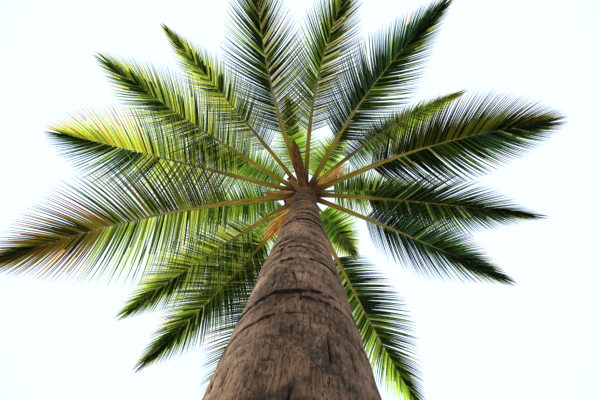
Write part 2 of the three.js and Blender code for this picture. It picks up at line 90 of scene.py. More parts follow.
# Folds in degrees from which an edge is sharp
CREASE = 30.0
LEAFLET_CREASE = 20.0

# Finishes: dry plant fibre's index, and the width of a band in a wave texture of scale 1
FIBRE_IOR = 1.5
WAVE_BAND = 0.314

GOLDEN_ANGLE = 137.5
UP = np.array([0.0, 0.0, 1.0])


def linear(colour: str) -> tuple[float, float, float, float]:
    """Turns an sRGB hex colour to linear light, by the formula of the sRGB standard.

    Args:
        colour: six hex digits after a hash.

    Returns:
        Red, green, blue and full opacity.
    """
    parts = [int(colour[k:k + 2], 16) / 255 for k in (1, 3, 5)]
    return tuple(c / 12.92 if c <= 0.04045 else ((c + 0.055) / 1.055) ** 2.4 for c in parts) + (1.0,)


def add_node(
    tree: bpy.types.NodeTree,
    kind: str,
    settings: dict[str, object] | None = None,
    inputs: dict[str | int, object] | None = None,
) -> bpy.types.Node:
    """Adds a node with its settings and links.

    Args:
        tree: the material's or world's node tree.
        kind: Blender's name for the kind of node.
        settings: the node's own properties.
        inputs: a value or another node's output for each socket, by name or number.

    Returns:
        The new node.
    """
    node = tree.nodes.new(kind)
    for name, value in (settings or {}).items():
        setattr(node, name, value)
    for key, value in (inputs or {}).items():
        if isinstance(value, bpy.types.NodeSocket):
            tree.links.new(value, node.inputs[key])
        else:
            node.inputs[key].default_value = value
    return node


def set_ramp(node: bpy.types.Node, stops: dict[float, str]) -> None:
    """Gives a colour ramp its stops.

    Args:
        node: the ramp's node.
        stops: the sRGB hex colour at each position.
    """
    elements = node.color_ramp.elements
    while len(elements) < len(stops):
        elements.new(0.5)
    for element, (position, colour) in zip(elements, sorted(stops.items())):
        element.position = position
        element.color = linear(colour)


def unit(vectors: np.ndarray) -> np.ndarray:
    """The same directions with a length of one."""
    return vectors / np.linalg.norm(vectors, axis=-1, keepdims=True)


def ease(share: np.ndarray) -> np.ndarray:
    """A share from 0 to 1 with a soft start and end."""
    return share * share * (3 - 2 * share)


def between(start: float, end: float, share: np.ndarray | float) -> np.ndarray | float:
    """The value at a share of the way from one value to another."""
    return start + (end - start) * share


def squared_off(wave: np.ndarray, power: float) -> np.ndarray:
    """A circle's sine or cosine, squared off more the further the power is below one."""
    return np.sign(wave) * np.abs(wave) ** power


def heading(azimuth: np.ndarray | float, rise: np.ndarray | float) -> np.ndarray:
    """Unit vectors at an azimuth and a rise above level, both in degrees."""
    a, e = np.radians(azimuth), np.radians(rise)
    return np.stack([np.cos(e) * np.cos(a), np.cos(e) * np.sin(a), np.sin(e) + 0 * a], axis=-1)


def closed_noise(
    around: np.ndarray, along: np.ndarray, cells: int, step: float, seed: int
) -> np.ndarray:
    """Smooth noise that closes on itself round a stem.

    Args:
        around: the share of a turn at each point.
        along: the height of each point, from zero up.
        cells: how many lumps there are in a turn.
        step: the height of a lump.
        seed: the seed of the draws.

    Returns:
        Values from -1 to 1.
    """
    rows = int(np.max(along) / step) + 2
    lattice = np.random.default_rng(seed).uniform(-1, 1, (rows + 1, cells))
    u, v = (around % 1) * cells, along / step
    column, row = u.astype(int), v.astype(int)
    fu, fv = ease(u - column), ease(v - row)
    left, right = column % cells, (column + 1) % cells
    low = lattice[row, left] * (1 - fu) + lattice[row, right] * fu
    high = lattice[row + 1, left] * (1 - fu) + lattice[row + 1, right] * fu
    return low * (1 - fv) + high * fv


def stem_centre(z: np.ndarray | float) -> np.ndarray:
    """The middle of the stem at a height. Its lean eases from the foot to the top.

    Args:
        z: the heights.

    Returns:
        The places.
    """
    foot, top, side = (math.tan(math.radians(a)) for a in (FOOT_LEAN, TOP_LEAN, SIDE_LEAN))
    z = np.asarray(z, float)
    below = np.minimum(z, TRUNK_HEIGHT)
    curved = foot * below - (foot - top) / (2 * TRUNK_HEIGHT) * below * below
    return np.stack([side * z, -curved - top * (z - below), z], axis=-1)


def trunk_radius(z: np.ndarray) -> np.ndarray:
    """The trunk's radius at a height, with its taper and root flare."""
    taper = TRUNK_TAPER_GAIN * np.maximum(0, 1 - z / TRUNK_HEIGHT) ** TRUNK_TAPER_POWER
    return (TRUNK_TOP_DIAMETER + taper + FLARE_GAIN * np.exp(-z / FLARE_HEIGHT)) / 2


def stem_tip_radius(z: np.ndarray | float) -> np.ndarray:
    """The radius of the stem above the trunk.

    Args:
        z: the heights.

    Returns:
        The radii.
    """
    share = (np.asarray(z, float) - TRUNK_HEIGHT) / STEM_TIP_LENGTH
    swell = (STEM_TIP_FOOT_RADIUS - STEM_TIP_END_RADIUS) * np.cos(share * math.pi / 2)
    return STEM_TIP_END_RADIUS + swell


def across(ahead: np.ndarray) -> tuple[np.ndarray, np.ndarray]:
    """The level side direction of a line and the direction upright to both."""
    side = unit(np.cross(UP, ahead))
    return side, np.cross(ahead, side)


def rings(
    middle: np.ndarray, around: np.ndarray, radius: np.ndarray,
    plain: np.ndarray | float, along: np.ndarray,
) -> tuple[np.ndarray, np.ndarray]:
    """Level rings of points round the middle of a stem.

    Args:
        middle: the middle of each ring.
        around: the share of a turn of each column.
        radius: how far out each point is, by ring and column.
        plain: the same for the grain, without relief.
        along: each ring's place along the grain.

    Returns:
        The points' places, and their places in the grain, by ring and column.
    """
    spokes = heading(360 * around, 0)
    points = middle[:, None] + spokes[None] * radius[..., None]
    return points, spokes[None] * np.asarray(plain)[..., None] + UP * along[:, None, None]


def swung(grain: np.ndarray, foot: np.ndarray, ahead: np.ndarray) -> np.ndarray:
    """Swings a straight piece to where it is: its Z lies ahead, and its Y faces upward.

    Args:
        grain: places in the straight piece.
        foot: where its foot goes.
        ahead: the direction that it lies in.

    Returns:
        The places.
    """
    side, over = across(ahead)
    return foot + grain @ np.stack([side, over, ahead])


class Skin:
    """Collects grids of points with their faces, and makes one piece of them.

    Each point also has a place in the piece's grain: where it would be, in metres, if
    the piece lay straight along Z. The finishes' patterns follow the grain.
    """

    def __init__(self) -> None:
        """Starts with nothing."""
        self.points: list[np.ndarray] = []
        self.grain: list[np.ndarray] = []
        self.stain_and_shade: list[np.ndarray] = []
        self.faces: list[np.ndarray] = []
        self.slots: list[np.ndarray] = []
        self.count = 0

    def add_points(self, points: np.ndarray, grain: np.ndarray, stain_and_shade: np.ndarray | float) -> int:
        """Adds points in a flat list.

        Args:
            points: their places.
            grain: their places in the grain.
            stain_and_shade: how dark each point is, from 0 to 1, by its stains and scars and by painted
                shade in its cracks.

        Returns:
            The number of the first one.
        """
        first = self.count
        self.points.append(points.reshape(-1, 3))
        self.grain.append(grain.reshape(-1, 3))
        self.count += len(self.points[-1])
        self.stain_and_shade.append(np.broadcast_to(np.ravel(stain_and_shade), (self.count - first,)))
        return first

    def add_grids(
        self,
        points: np.ndarray,
        grain: np.ndarray,
        slots: np.ndarray | int = 0,
        closed: bool = False,
        stain_and_shade: np.ndarray | float = 0.0,
    ) -> None:
        """Adds grids of one size.

        Args:
            points: places, by grid, row and column.
            grain: places in the grain, by grid, row and column.
            slots: the finish's number, for all or by grid and step between rows.
            closed: whether the last column joins the first, with both ends filled in.
            stain_and_shade: how dark each point is, from 0 to 1, by its stains and scars and by painted
                shade in its cracks.
        """
        grids, rows, columns, _ = points.shape
        first = self.add_points(points, grain, stain_and_shade)
        wide = columns if closed else columns - 1
        row, column = np.meshgrid(np.arange(rows - 1), np.arange(wide), indexing="ij")
        beside = (column + 1) % columns
        quads = np.stack([
            row * columns + column,
            row * columns + beside,
            (row + 1) * columns + beside,
            (row + 1) * columns + column,
        ], axis=-1)
        starts = first + np.arange(grids)[:, None, None, None] * rows * columns
        self.faces.append((starts + quads).reshape(-1, 4))
        by_step = np.broadcast_to(np.asarray(slots), (grids, rows - 1))
        self.slots.append(np.repeat(by_step.reshape(-1), wide))
        if closed:
            for end, flip in ((0, True), (rows - 1, False)):
                self.fill_ends(points[:, end], grain[:, end], first + end * columns,
                               rows * columns, by_step[:, min(end, rows - 2)], flip)

    def fill_ends(
        self, rings: np.ndarray, grain: np.ndarray, first: int, stride: int,
        slots: np.ndarray, flip: bool,
    ) -> None:
        """Fills the end rings of closed grids with fans round their middles.

        Args:
            rings: the rings' places, by grid and column.
            grain: the rings' places in the grain.
            first: the number of the first ring's first point.
            stride: how many points lie between two rings.
            slots: each grid's finish.
            flip: whether the faces look back.
        """
        grids, columns, _ = rings.shape
        middle = self.add_points(rings.mean(axis=1), grain.mean(axis=1), 0.0)
        column = np.arange(columns)
        here = first + np.arange(grids)[:, None] * stride + column
        there = first + np.arange(grids)[:, None] * stride + (column + 1) % columns
        hub = np.broadcast_to(middle + np.arange(grids)[:, None], here.shape)
        order = [there, here, hub, hub] if flip else [here, there, hub, hub]
        self.faces.append(np.stack(order, axis=-1).reshape(-1, 4))
        self.slots.append(np.repeat(slots, columns))

    def build(self, name: str, finishes: list["Finish"], crease: float = CREASE) -> bpy.types.Object:
        """Makes the piece.

        Args:
            name: the piece's name.
            finishes: the finish behind each number in slots.
            crease: the fold in degrees from which an edge is sharp.

        Returns:
            The piece's object, linked to the scene.
        """
        faces = np.concatenate(self.faces)
        sides = np.where(faces[:, 2] == faces[:, 3], 3, 4)
        corners = faces.reshape(-1)[(np.arange(4) < sides[:, None]).reshape(-1)]
        mesh = bpy.data.meshes.new(name)
        mesh.vertices.add(self.count)
        mesh.vertices.foreach_set("co", np.concatenate(self.points).astype(np.float32).ravel())
        mesh.loops.add(len(corners))
        mesh.loops.foreach_set("vertex_index", corners.astype(np.int32))
        mesh.polygons.add(len(faces))
        mesh.polygons.foreach_set("loop_start", (np.cumsum(sides) - sides).astype(np.int32))
        mesh.polygons.foreach_set("material_index", np.concatenate(self.slots).astype(np.int32))
        mesh.update(calc_edges=True)
        grain = mesh.attributes.new("grain", "FLOAT_VECTOR", "POINT")
        grain.data.foreach_set("vector", np.concatenate(self.grain).astype(np.float32).ravel())
        # How dark each point is: real stains and scars, and painted shade in cracks, pits and under the
        # scars' lips.
        stain_and_shade = mesh.attributes.new("stain_and_shade", "FLOAT", "POINT")
        stain_and_shade.data.foreach_set("value", np.concatenate(self.stain_and_shade).astype(np.float32))
        mesh.shade_smooth()
        mesh.set_sharp_from_angle(angle=math.radians(crease))
        for finish in finishes:
            mesh.materials.append(finish.material())
        piece = bpy.data.objects.new(name, mesh)
        bpy.context.scene.collection.objects.link(piece)
        log.info("%s: %d faces", name, len(faces))
        return piece


def closed_piece(
    name: str,
    points: np.ndarray,
    grain: np.ndarray,
    finishes: list["Finish"],
    slots: np.ndarray | int = 0,
    crease: float = CREASE,
    stain_and_shade: np.ndarray | float = 0.0,
) -> bpy.types.Object:
    """Makes a piece of one grid that closes on itself, with both ends filled in.

    Args:
        name: the piece's name.
        points: its places, by row and column.
        grain: its places in the grain.
        finishes: the finish behind each number in slots.
        slots: the finish's number, for all or by step between rows.
        crease: the fold in degrees from which an edge is sharp.
        stain_and_shade: how dark each point is, from 0 to 1, by its stains and scars and by painted shade
            in its cracks.

    Returns:
        The piece's object.
    """
    skin = Skin()
    skin.add_grids(points[None], grain[None], slots, closed=True, stain_and_shade=stain_and_shade)
    return skin.build(name, finishes, crease)


def hand_over(piece: bpy.types.Object, slot: str, *nodes: str) -> None:
    """Lets a piece ride on the palm and stand for its solids.

    Args:
        piece: the piece.
        slot: the slot's name; not used.
        nodes: the names of the solids.
    """
    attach(piece, "root")
    if nodes:
        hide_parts(*nodes)


class Finish:
    """What all finishes share: one material, made once, for every piece that asks for it."""

    name: str

    def surface(self, tree: bpy.types.NodeTree) -> bpy.types.NodeSocket:
        """Adds the nodes.

        Args:
            tree: the material's node tree.

        Returns:
            The shader's output.
        """
        raise NotImplementedError

    def material(self) -> bpy.types.Material:
        """Makes the finish's material on the first call.

        Returns:
            The material.
        """
        made = bpy.data.materials.get(self.name)
        if made is None:
            made = bpy.data.materials.new(self.name)
            made.use_nodes = True
            made.node_tree.nodes.clear()
            shader = self.surface(made.node_tree)
            add_node(made.node_tree, "ShaderNodeOutputMaterial", inputs={"Surface": shader})
        return made


class Blend(Enum):
    """How a colour joins the one below it."""

    COVER = "MIX"
    STAIN = "MULTIPLY"


@dataclass(frozen=True)
class Span:
    """The value at which a pattern starts to show, where it shows in full, and how much then."""

    none_at: float
    all_at: float
    most: float = 1.0

    def inputs(self, value: bpy.types.NodeSocket) -> dict[str, object]:
        """The inputs of a node that turns the value to a share."""
        return {
            "Value": value, "From Min": self.none_at, "From Max": self.all_at,
            "To Min": 0.0, "To Max": self.most,
        }


@dataclass(frozen=True)
class Veil:
    """A colour that is laid over another where a pattern shows."""

    colour: str
    span: Span
    blend: Blend = Blend.COVER

    def lay(
        self, tree: bpy.types.NodeTree, value: bpy.types.NodeSocket, below: bpy.types.NodeSocket
    ) -> bpy.types.NodeSocket:
        """Adds the nodes.

        Args:
            tree: the material's node tree.
            value: the pattern's value.
            below: the colour below.

        Returns:
            The colour's output.
        """
        share = add_node(tree, "ShaderNodeMapRange", inputs=self.span.inputs(value))
        laid = add_node(tree, "ShaderNodeMix", {"data_type": "RGBA", "blend_type": self.blend.value}, {
            0: share.outputs[0], 6: below, 7: linear(self.colour),
        })
        return laid.outputs[2]


def marks_per_metre(width: float, length: float) -> tuple[float, float, float]:
    """How many marks of a real size a metre holds, twice across the grain and once along it."""
    return 1 / width, 1 / width, 1 / length


@dataclass(frozen=True)
class Lumps:
    """A noise pattern: its lumps' width and length in metres, and how ragged they are."""

    width: float
    length: float
    detail: float = 4.0
    roughness: float = 0.6
    distortion: float = 0.0

    def add(self, tree: bpy.types.NodeTree, grain: bpy.types.NodeSocket) -> bpy.types.NodeSocket:
        """Adds the nodes.

        Args:
            tree: the material's node tree.
            grain: the place in the grain.

        Returns:
            The pattern's value, from 0 to 1.
        """
        stretched = add_node(tree, "ShaderNodeVectorMath", {"operation": "MULTIPLY"}, {
            0: grain, 1: marks_per_metre(self.width, self.length),
        })
        noise = add_node(tree, "ShaderNodeTexNoise", inputs={
            "Vector": stretched.outputs[0],
            "Scale": 1.0,
            "Detail": self.detail,
            "Roughness": self.roughness,
            "Distortion": self.distortion,
        })
        return noise.outputs["Fac"]


@dataclass(frozen=True)
class LeafletFinish(Finish):
    """Living palm leaf, grown: a waxy cuticle over a thin blade with parallel veins.

    The wax gives a soft gleam, and the thin blade lets some of the light through, so
    that it glows where the sun is behind it.
    """

    name: str
    blade: str
    glow: str
    through: float = 0.38
    roughness: float = 0.42
    wax_ior: float = 1.37
    # Real veins are under half a millimetre apart, too fine to show. These are coarser.
    vein_spacing: float = 0.002
    vein_height: float = 0.00025
    vein_strength: float = 0.5

    def surface(self, tree: bpy.types.NodeTree) -> bpy.types.NodeSocket:
        """Adds the nodes.

        Args:
            tree: the material's node tree.

        Returns:
            The shader's output.
        """
        grain = add_node(tree, "ShaderNodeAttribute", {"attribute_name": "grain"})
        veins = add_node(tree, "ShaderNodeTexWave", {"bands_direction": "X"}, {
            "Vector": grain.outputs["Vector"], "Scale": WAVE_BAND / self.vein_spacing,
        })
        relief = add_node(tree, "ShaderNodeBump", inputs={
            "Height": veins.outputs["Fac"], "Distance": self.vein_height, "Strength": self.vein_strength,
        })
        blade = add_node(tree, "ShaderNodeBsdfPrincipled", inputs={
            "Base Color": linear(self.blade),
            "Roughness": self.roughness,
            "IOR": self.wax_ior,
            "Normal": relief.outputs["Normal"],
        })
        glow = add_node(tree, "ShaderNodeBsdfTranslucent", inputs={"Color": linear(self.glow)})
        both = add_node(tree, "ShaderNodeMixShader", inputs={
            0: self.through, 1: blade.outputs["BSDF"], 2: glow.outputs["BSDF"],
        })
        return both.outputs["Shader"]


@dataclass(frozen=True)
class StalkFinish(Finish):
    """Palm stalk, grown: smooth, waxy and streaked along its length.

    It gives a brown foot that turns ochre, then olive and leaf green towards the tip,
    with a faint, broad gleam.
    """

    name: str = "Palm stalk, grown, waxy"
    foot: str = "#5a3c1a"
    low: str = "#887224"
    middle: str = "#9c8c2c"
    high: str = "#a29a5c"
    tip: str = "#949664"
    colour_length: float = 4.6
    # The shares of that length where the foot's colour ends and each next one is reached.
    stops: tuple[float, ...] = (0.025, 0.06, 0.16, 0.45, 1.0)
    # Real streaks are one or two millimetres wide, too fine to show. These are coarser.
    streaks: Lumps = Lumps(0.006, 0.25, detail=3.0, roughness=0.5)
    streak_veil: Veil = Veil("#62522c", Span(0.42, 0.66, 0.85), Blend.STAIN)
    relief: float = 0.001
    relief_strength: float = 0.5
    roughness: float = 0.4
    wax_ior: float = 1.32

    def surface(self, tree: bpy.types.NodeTree) -> bpy.types.NodeSocket:
        """Adds the nodes.

        Args:
            tree: the material's node tree.

        Returns:
            The shader's output.
        """
        grain = add_node(tree, "ShaderNodeAttribute", {"attribute_name": "grain"}).outputs["Vector"]
        along = add_node(tree, "ShaderNodeSeparateXYZ", inputs={0: grain}).outputs["Z"]
        share = add_node(tree, "ShaderNodeMath", {"operation": "DIVIDE"}, {
            0: along, 1: self.colour_length,
        })
        tint = add_node(tree, "ShaderNodeValToRGB", inputs={"Fac": share.outputs[0]})
        colours = (self.foot, self.low, self.middle, self.high, self.tip)
        set_ramp(tint, {0.0: self.foot, **dict(zip(self.stops, colours))})
        streaks = self.streaks.add(tree, grain)
        relief = add_node(tree, "ShaderNodeBump", inputs={
            "Height": streaks, "Distance": self.relief, "Strength": self.relief_strength,
        })
        wax = add_node(tree, "ShaderNodeBsdfPrincipled", inputs={
            "Base Color": self.streak_veil.lay(tree, streaks, tint.outputs["Color"]),
            "Roughness": self.roughness,
            "IOR": self.wax_ior,
            "Normal": relief.outputs["Normal"],
        })
        return wax.outputs["BSDF"]


YOUNG_STALK = StalkFinish(
    "Palm stalk, young, waxy",
    foot="#4c4a1a", low="#747a26", middle="#84922c", high="#86a034", tip="#7a9a2c",
)


@dataclass(frozen=True)
class BarkFinish(Finish):
    """Palm bark, weathered: hard grey-brown fibre with no separate plates.

    It gives warmer and greyer patches, films of grey-green growth, pale specks, a net
    of fine upright cracks and rows of short pits, darkened as painted shade, and dark
    scars and stains, the scars partly their own colour and partly painted shade. It is
    darker near the ground, as painted shade, and warmer towards the crown.
    """

    name: str = "Palm bark, weathered"
    # The greyest to the palest patch, by the patches' value.
    tints: tuple[tuple[float, str], ...] = (
        (0.34, "#7c6654"), (0.46, "#a88d76"), (0.56, "#ba9c85"), (0.68, "#ccae96"),
    )
    patches: Lumps = Lumps(0.11, 0.11, detail=5.0, roughness=0.65)
    # Real fibres are about a millimetre wide, too fine to show. These are coarser.
    fibre: Lumps = Lumps(0.005, 0.05, roughness=0.65)
    fibre_veil: Veil = Veil("#8a786c", Span(0.52, 0.34, 0.75), Blend.STAIN)
    films: Lumps = Lumps(0.14, 0.14, detail=7.0, roughness=0.72, distortion=0.4)
    film_veil: Veil = Veil("#4c4c40", Span(0.53, 0.62, 0.75))
    specks: Lumps = Lumps(0.008, 0.008, detail=2.0, roughness=0.5)
    speck_veil: Veil = Veil("#cbb095", Span(0.6, 0.72, 0.55))
    # Cracks are a net of stretched cells, seen at the cells' edges and most in grey patches.
    crack_cell: tuple[float, float] = (0.012, 0.06)
    crack_scatter: float = 0.85
    crack_span: Span = Span(0.06, 0.01)
    crack_patches: Span = Span(0.6, 0.42, 0.75)
    # Pits show where the films are.
    pits: Lumps = Lumps(0.0032, 0.01, detail=1.0, roughness=0.4)
    pit_span: Span = Span(0.6, 0.67, 0.8)
    pit_films: Span = Span(0.4, 0.52, 0.9)
    # The dark colour of stains and scars, which is also painted shade in cracks, pits and under the
    # scars' lips.
    stain_and_shade_colour: str = "#2b1e16"
    # The heights at which the painted shade near the ground ends, and the warm zone starts.
    # Painted shade: the bark is darkened towards the ground.
    ground_shade_veil: Veil = Veil("#dedad6", Span(1.75, 1.25), Blend.STAIN)
    warm_veil: Veil = Veil("#d8c8ae", Span(1.5, 3.0), Blend.STAIN)
    relief: float = 0.003
    relief_strength: float = 0.7
    roughness: float = 0.86

    def marks(
        self, tree: bpy.types.NodeTree, grain: bpy.types.NodeSocket,
        patches: bpy.types.NodeSocket, films: bpy.types.NodeSocket,
    ) -> bpy.types.NodeSocket:
        """Adds the net of cracks and the pits.

        Args:
            tree: the material's node tree.
            grain: the place in the grain.
            patches: the value of the patches.
            films: the value of the films.

        Returns:
            How deep in a crack or pit the place is, from 0 to 1.
        """
        cells = add_node(tree, "ShaderNodeVectorMath", {"operation": "MULTIPLY"}, {
            0: grain, 1: marks_per_metre(*self.crack_cell),
        })
        net = add_node(tree, "ShaderNodeTexVoronoi", {"feature": "DISTANCE_TO_EDGE"}, {
            "Vector": cells.outputs[0], "Scale": 1.0, "Randomness": self.crack_scatter,
        })
        kinds = []
        for span, value, place_span, place in (
            (self.crack_span, net.outputs["Distance"], self.crack_patches, patches),
            (self.pit_span, self.pits.add(tree, grain), self.pit_films, films),
        ):
            mark = add_node(tree, "ShaderNodeMapRange", inputs=span.inputs(value))
            spread = add_node(tree, "ShaderNodeMapRange", inputs=place_span.inputs(place))
            kinds.append(add_node(tree, "ShaderNodeMath", {"operation": "MULTIPLY"}, {
                0: mark.outputs[0], 1: spread.outputs[0],
            }))
        both = add_node(tree, "ShaderNodeMath", {"operation": "MAXIMUM"}, {
            0: kinds[0].outputs[0], 1: kinds[1].outputs[0],
        })
        return both.outputs[0]

    def surface(self, tree: bpy.types.NodeTree) -> bpy.types.NodeSocket:
        """Adds the nodes.

        Args:
            tree: the material's node tree.

        Returns:
            The shader's output.
        """
        grain = add_node(tree, "ShaderNodeAttribute", {"attribute_name": "grain"}).outputs["Vector"]
        stain_and_shade = add_node(tree, "ShaderNodeAttribute", {"attribute_name": "stain_and_shade"}).outputs["Fac"]
        height = add_node(tree, "ShaderNodeSeparateXYZ", inputs={0: grain}).outputs["Z"]
        patches, fibre, films, specks = (
            lumps.add(tree, grain) for lumps in (self.patches, self.fibre, self.films, self.specks)
        )
        tint = add_node(tree, "ShaderNodeValToRGB", inputs={"Fac": patches})
        set_ramp(tint, dict(self.tints))
        colour = self.fibre_veil.lay(tree, fibre, tint.outputs["Color"])
        colour = self.film_veil.lay(tree, films, colour)
        colour = self.speck_veil.lay(tree, specks, colour)
        marks = self.marks(tree, grain, patches, films)
        dark = add_node(tree, "ShaderNodeMath", {"operation": "MAXIMUM"}, {0: marks, 1: stain_and_shade})
        # Cracks and pits are darkened as painted shade; the attribute adds the dark of stains and scars,
        # partly painted shade.
        marked = add_node(tree, "ShaderNodeMix", {"data_type": "RGBA"}, {
            0: dark.outputs[0], 6: colour, 7: linear(self.stain_and_shade_colour),
        })
        colour = self.ground_shade_veil.lay(tree, height, marked.outputs[2])
        colour = self.warm_veil.lay(tree, height, colour)
        size = {"Distance": self.relief, "Strength": self.relief_strength}
        uneven = add_node(tree, "ShaderNodeBump", inputs={"Height": fibre, **size})
        relief = add_node(tree, "ShaderNodeBump", {"invert": True}, {
            "Height": marks, "Normal": uneven.outputs["Normal"], **size,
        })
        bark = add_node(tree, "ShaderNodeBsdfPrincipled", inputs={
            "Base Color": colour,
            "Roughness": self.roughness,
            "IOR": FIBRE_IOR,
            "Normal": relief.outputs["Normal"],
        })
        return bark.outputs["BSDF"]


@dataclass(frozen=True)
class DryFinish(Finish):
    """Dry palm fibre, sheath or flower strand, weathered: streaked lengthwise.

    It gives a matt, ridged skin that is paler on its ridges and dark between them.
    """

    name: str
    pale: str
    dark: str
    # Real fibres are about a millimetre wide, too fine to show. These are coarser.
    streaks: Lumps = Lumps(0.004, 0.08)
    dark_at: float = 0.35
    pale_at: float = 0.62
    relief: float = 0.002
    relief_strength: float = 0.7
    roughness: float = 0.75

    def surface(self, tree: bpy.types.NodeTree) -> bpy.types.NodeSocket:
        """Adds the nodes.

        Args:
            tree: the material's node tree.

        Returns:
            The shader's output.
        """
        grain = add_node(tree, "ShaderNodeAttribute", {"attribute_name": "grain"})
        streaks = self.streaks.add(tree, grain.outputs["Vector"])
        tint = add_node(tree, "ShaderNodeValToRGB", inputs={"Fac": streaks})
        set_ramp(tint, {self.dark_at: self.dark, self.pale_at: self.pale})
        relief = add_node(tree, "ShaderNodeBump", inputs={
            "Height": streaks, "Distance": self.relief, "Strength": self.relief_strength,
        })
        fibre = add_node(tree, "ShaderNodeBsdfPrincipled", inputs={
            "Base Color": tint.outputs["Color"],
            "Roughness": self.roughness,
            "IOR": FIBRE_IOR,
            "Normal": relief.outputs["Normal"],
        })
        return fibre.outputs["BSDF"]


FIBRE = DryFinish("Palm sheath fibre, dry", "#8a6238", "#3c2614", roughness=0.85)
SPATHE_SKIN = DryFinish("Palm spathe, dry, woody", "#745029", "#1e120a", Lumps(0.02, 0.09))
PALE_SPATHE = DryFinish("Palm spathe, dry, ochre", "#b89a58", "#5c4220", Lumps(0.012, 0.2))
STRAND = DryFinish("Palm flower strand, orange", "#cc8a34", "#7a4616", Lumps(0.01, 0.08))
STRAW_STRAND = DryFinish("Palm flower strand, straw", "#f2d690", "#c8a252", Lumps(0.01, 0.08))
CUT_STALK = DryFinish("Palm stalk, dried", "#8e7448", "#4a361e", roughness=0.85)
STALK_CUT = DryFinish("Palm stalk, weathered cut", "#3c2a1a", "#1c120a", roughness=0.9)


@dataclass(frozen=True)
class FloorFinish(Finish):
    """Studio floor, painted and matt: pale, and without a gleam of its own."""

    name: str = "Studio floor, painted, matt"
    colour: str = "#aeaca4"
    roughness: float = 0.9

    def surface(self, tree: bpy.types.NodeTree) -> bpy.types.NodeSocket:
        """Adds the nodes.

        Args:
            tree: the material's node tree.

        Returns:
            The shader's output.
        """
        paint = add_node(tree, "ShaderNodeBsdfPrincipled", inputs={
            "Base Color": linear(self.colour), "Roughness": self.roughness,
        })
        return paint.outputs["BSDF"]


class Tone(Enum):
    """The finishes that leaflets are dealt, by spray.

    Gleaming ones are a painted gleam, the sky's reflection on their wax, and pale ones are painted glare.
    """

    DARK = LeafletFinish("Palm leaf, darkest green", "#111c0b", "#24380a", through=0.28, wax_ior=1.28)
    DEEP = LeafletFinish("Palm leaf, deep green", "#374a20", "#56721e")
    TEAL = LeafletFinish("Palm leaf, bluish green", "#2c4638", "#3c6844")
    OLIVE = LeafletFinish("Palm leaf, olive", "#4c4e20", "#74701e")
    MID = LeafletFinish("Palm leaf, mid green", "#667c3a", "#98ae44")
    BRIGHT = LeafletFinish("Palm leaf, sunlit green", "#a0ae50", "#ccd65a")
    YOUNG = LeafletFinish("Palm leaf, young", "#86ac3c", "#b4d844")
    # Painted gleam: a pale base colour that stands for the sky's reflection on the wax.
    PAINTED_GLEAM = LeafletFinish("Palm leaf, painted gleam", "#96a470", "#aebc74", through=0.3, roughness=0.35)
    # Painted glare: a pale cream base colour that stands for glare on the leaflets.
    PAINTED_GLARE = LeafletFinish("Palm leaf, painted glare", "#aaa684", "#bcb67c", through=0.25)
    GOLD = LeafletFinish("Palm leaf, yellowed", "#a89428", "#d0b832")
    BROWN = LeafletFinish("Palm leaf, browned", "#5c4424", "#7c5a24", through=0.3, roughness=0.5)
    STRAW = LeafletFinish("Palm leaf, dry tip", "#9a6c30", "#b07c34", through=0.2, roughness=0.6)
    NERVE = LeafletFinish("Palm leaflet nerve", "#6c7630", "#7c8430", through=0.1)


TONES = list(Tone)


@dataclass(frozen=True)
class Mix:
    """The share of each tone among sprays, in the leaflets' half by the rib and outer half.

    The strays are the share of leaflets with a tone of their own, whatever their spray's.
    """

    near: dict[Tone, float]
    outer: dict[Tone, float]
    strays: float = 0.85


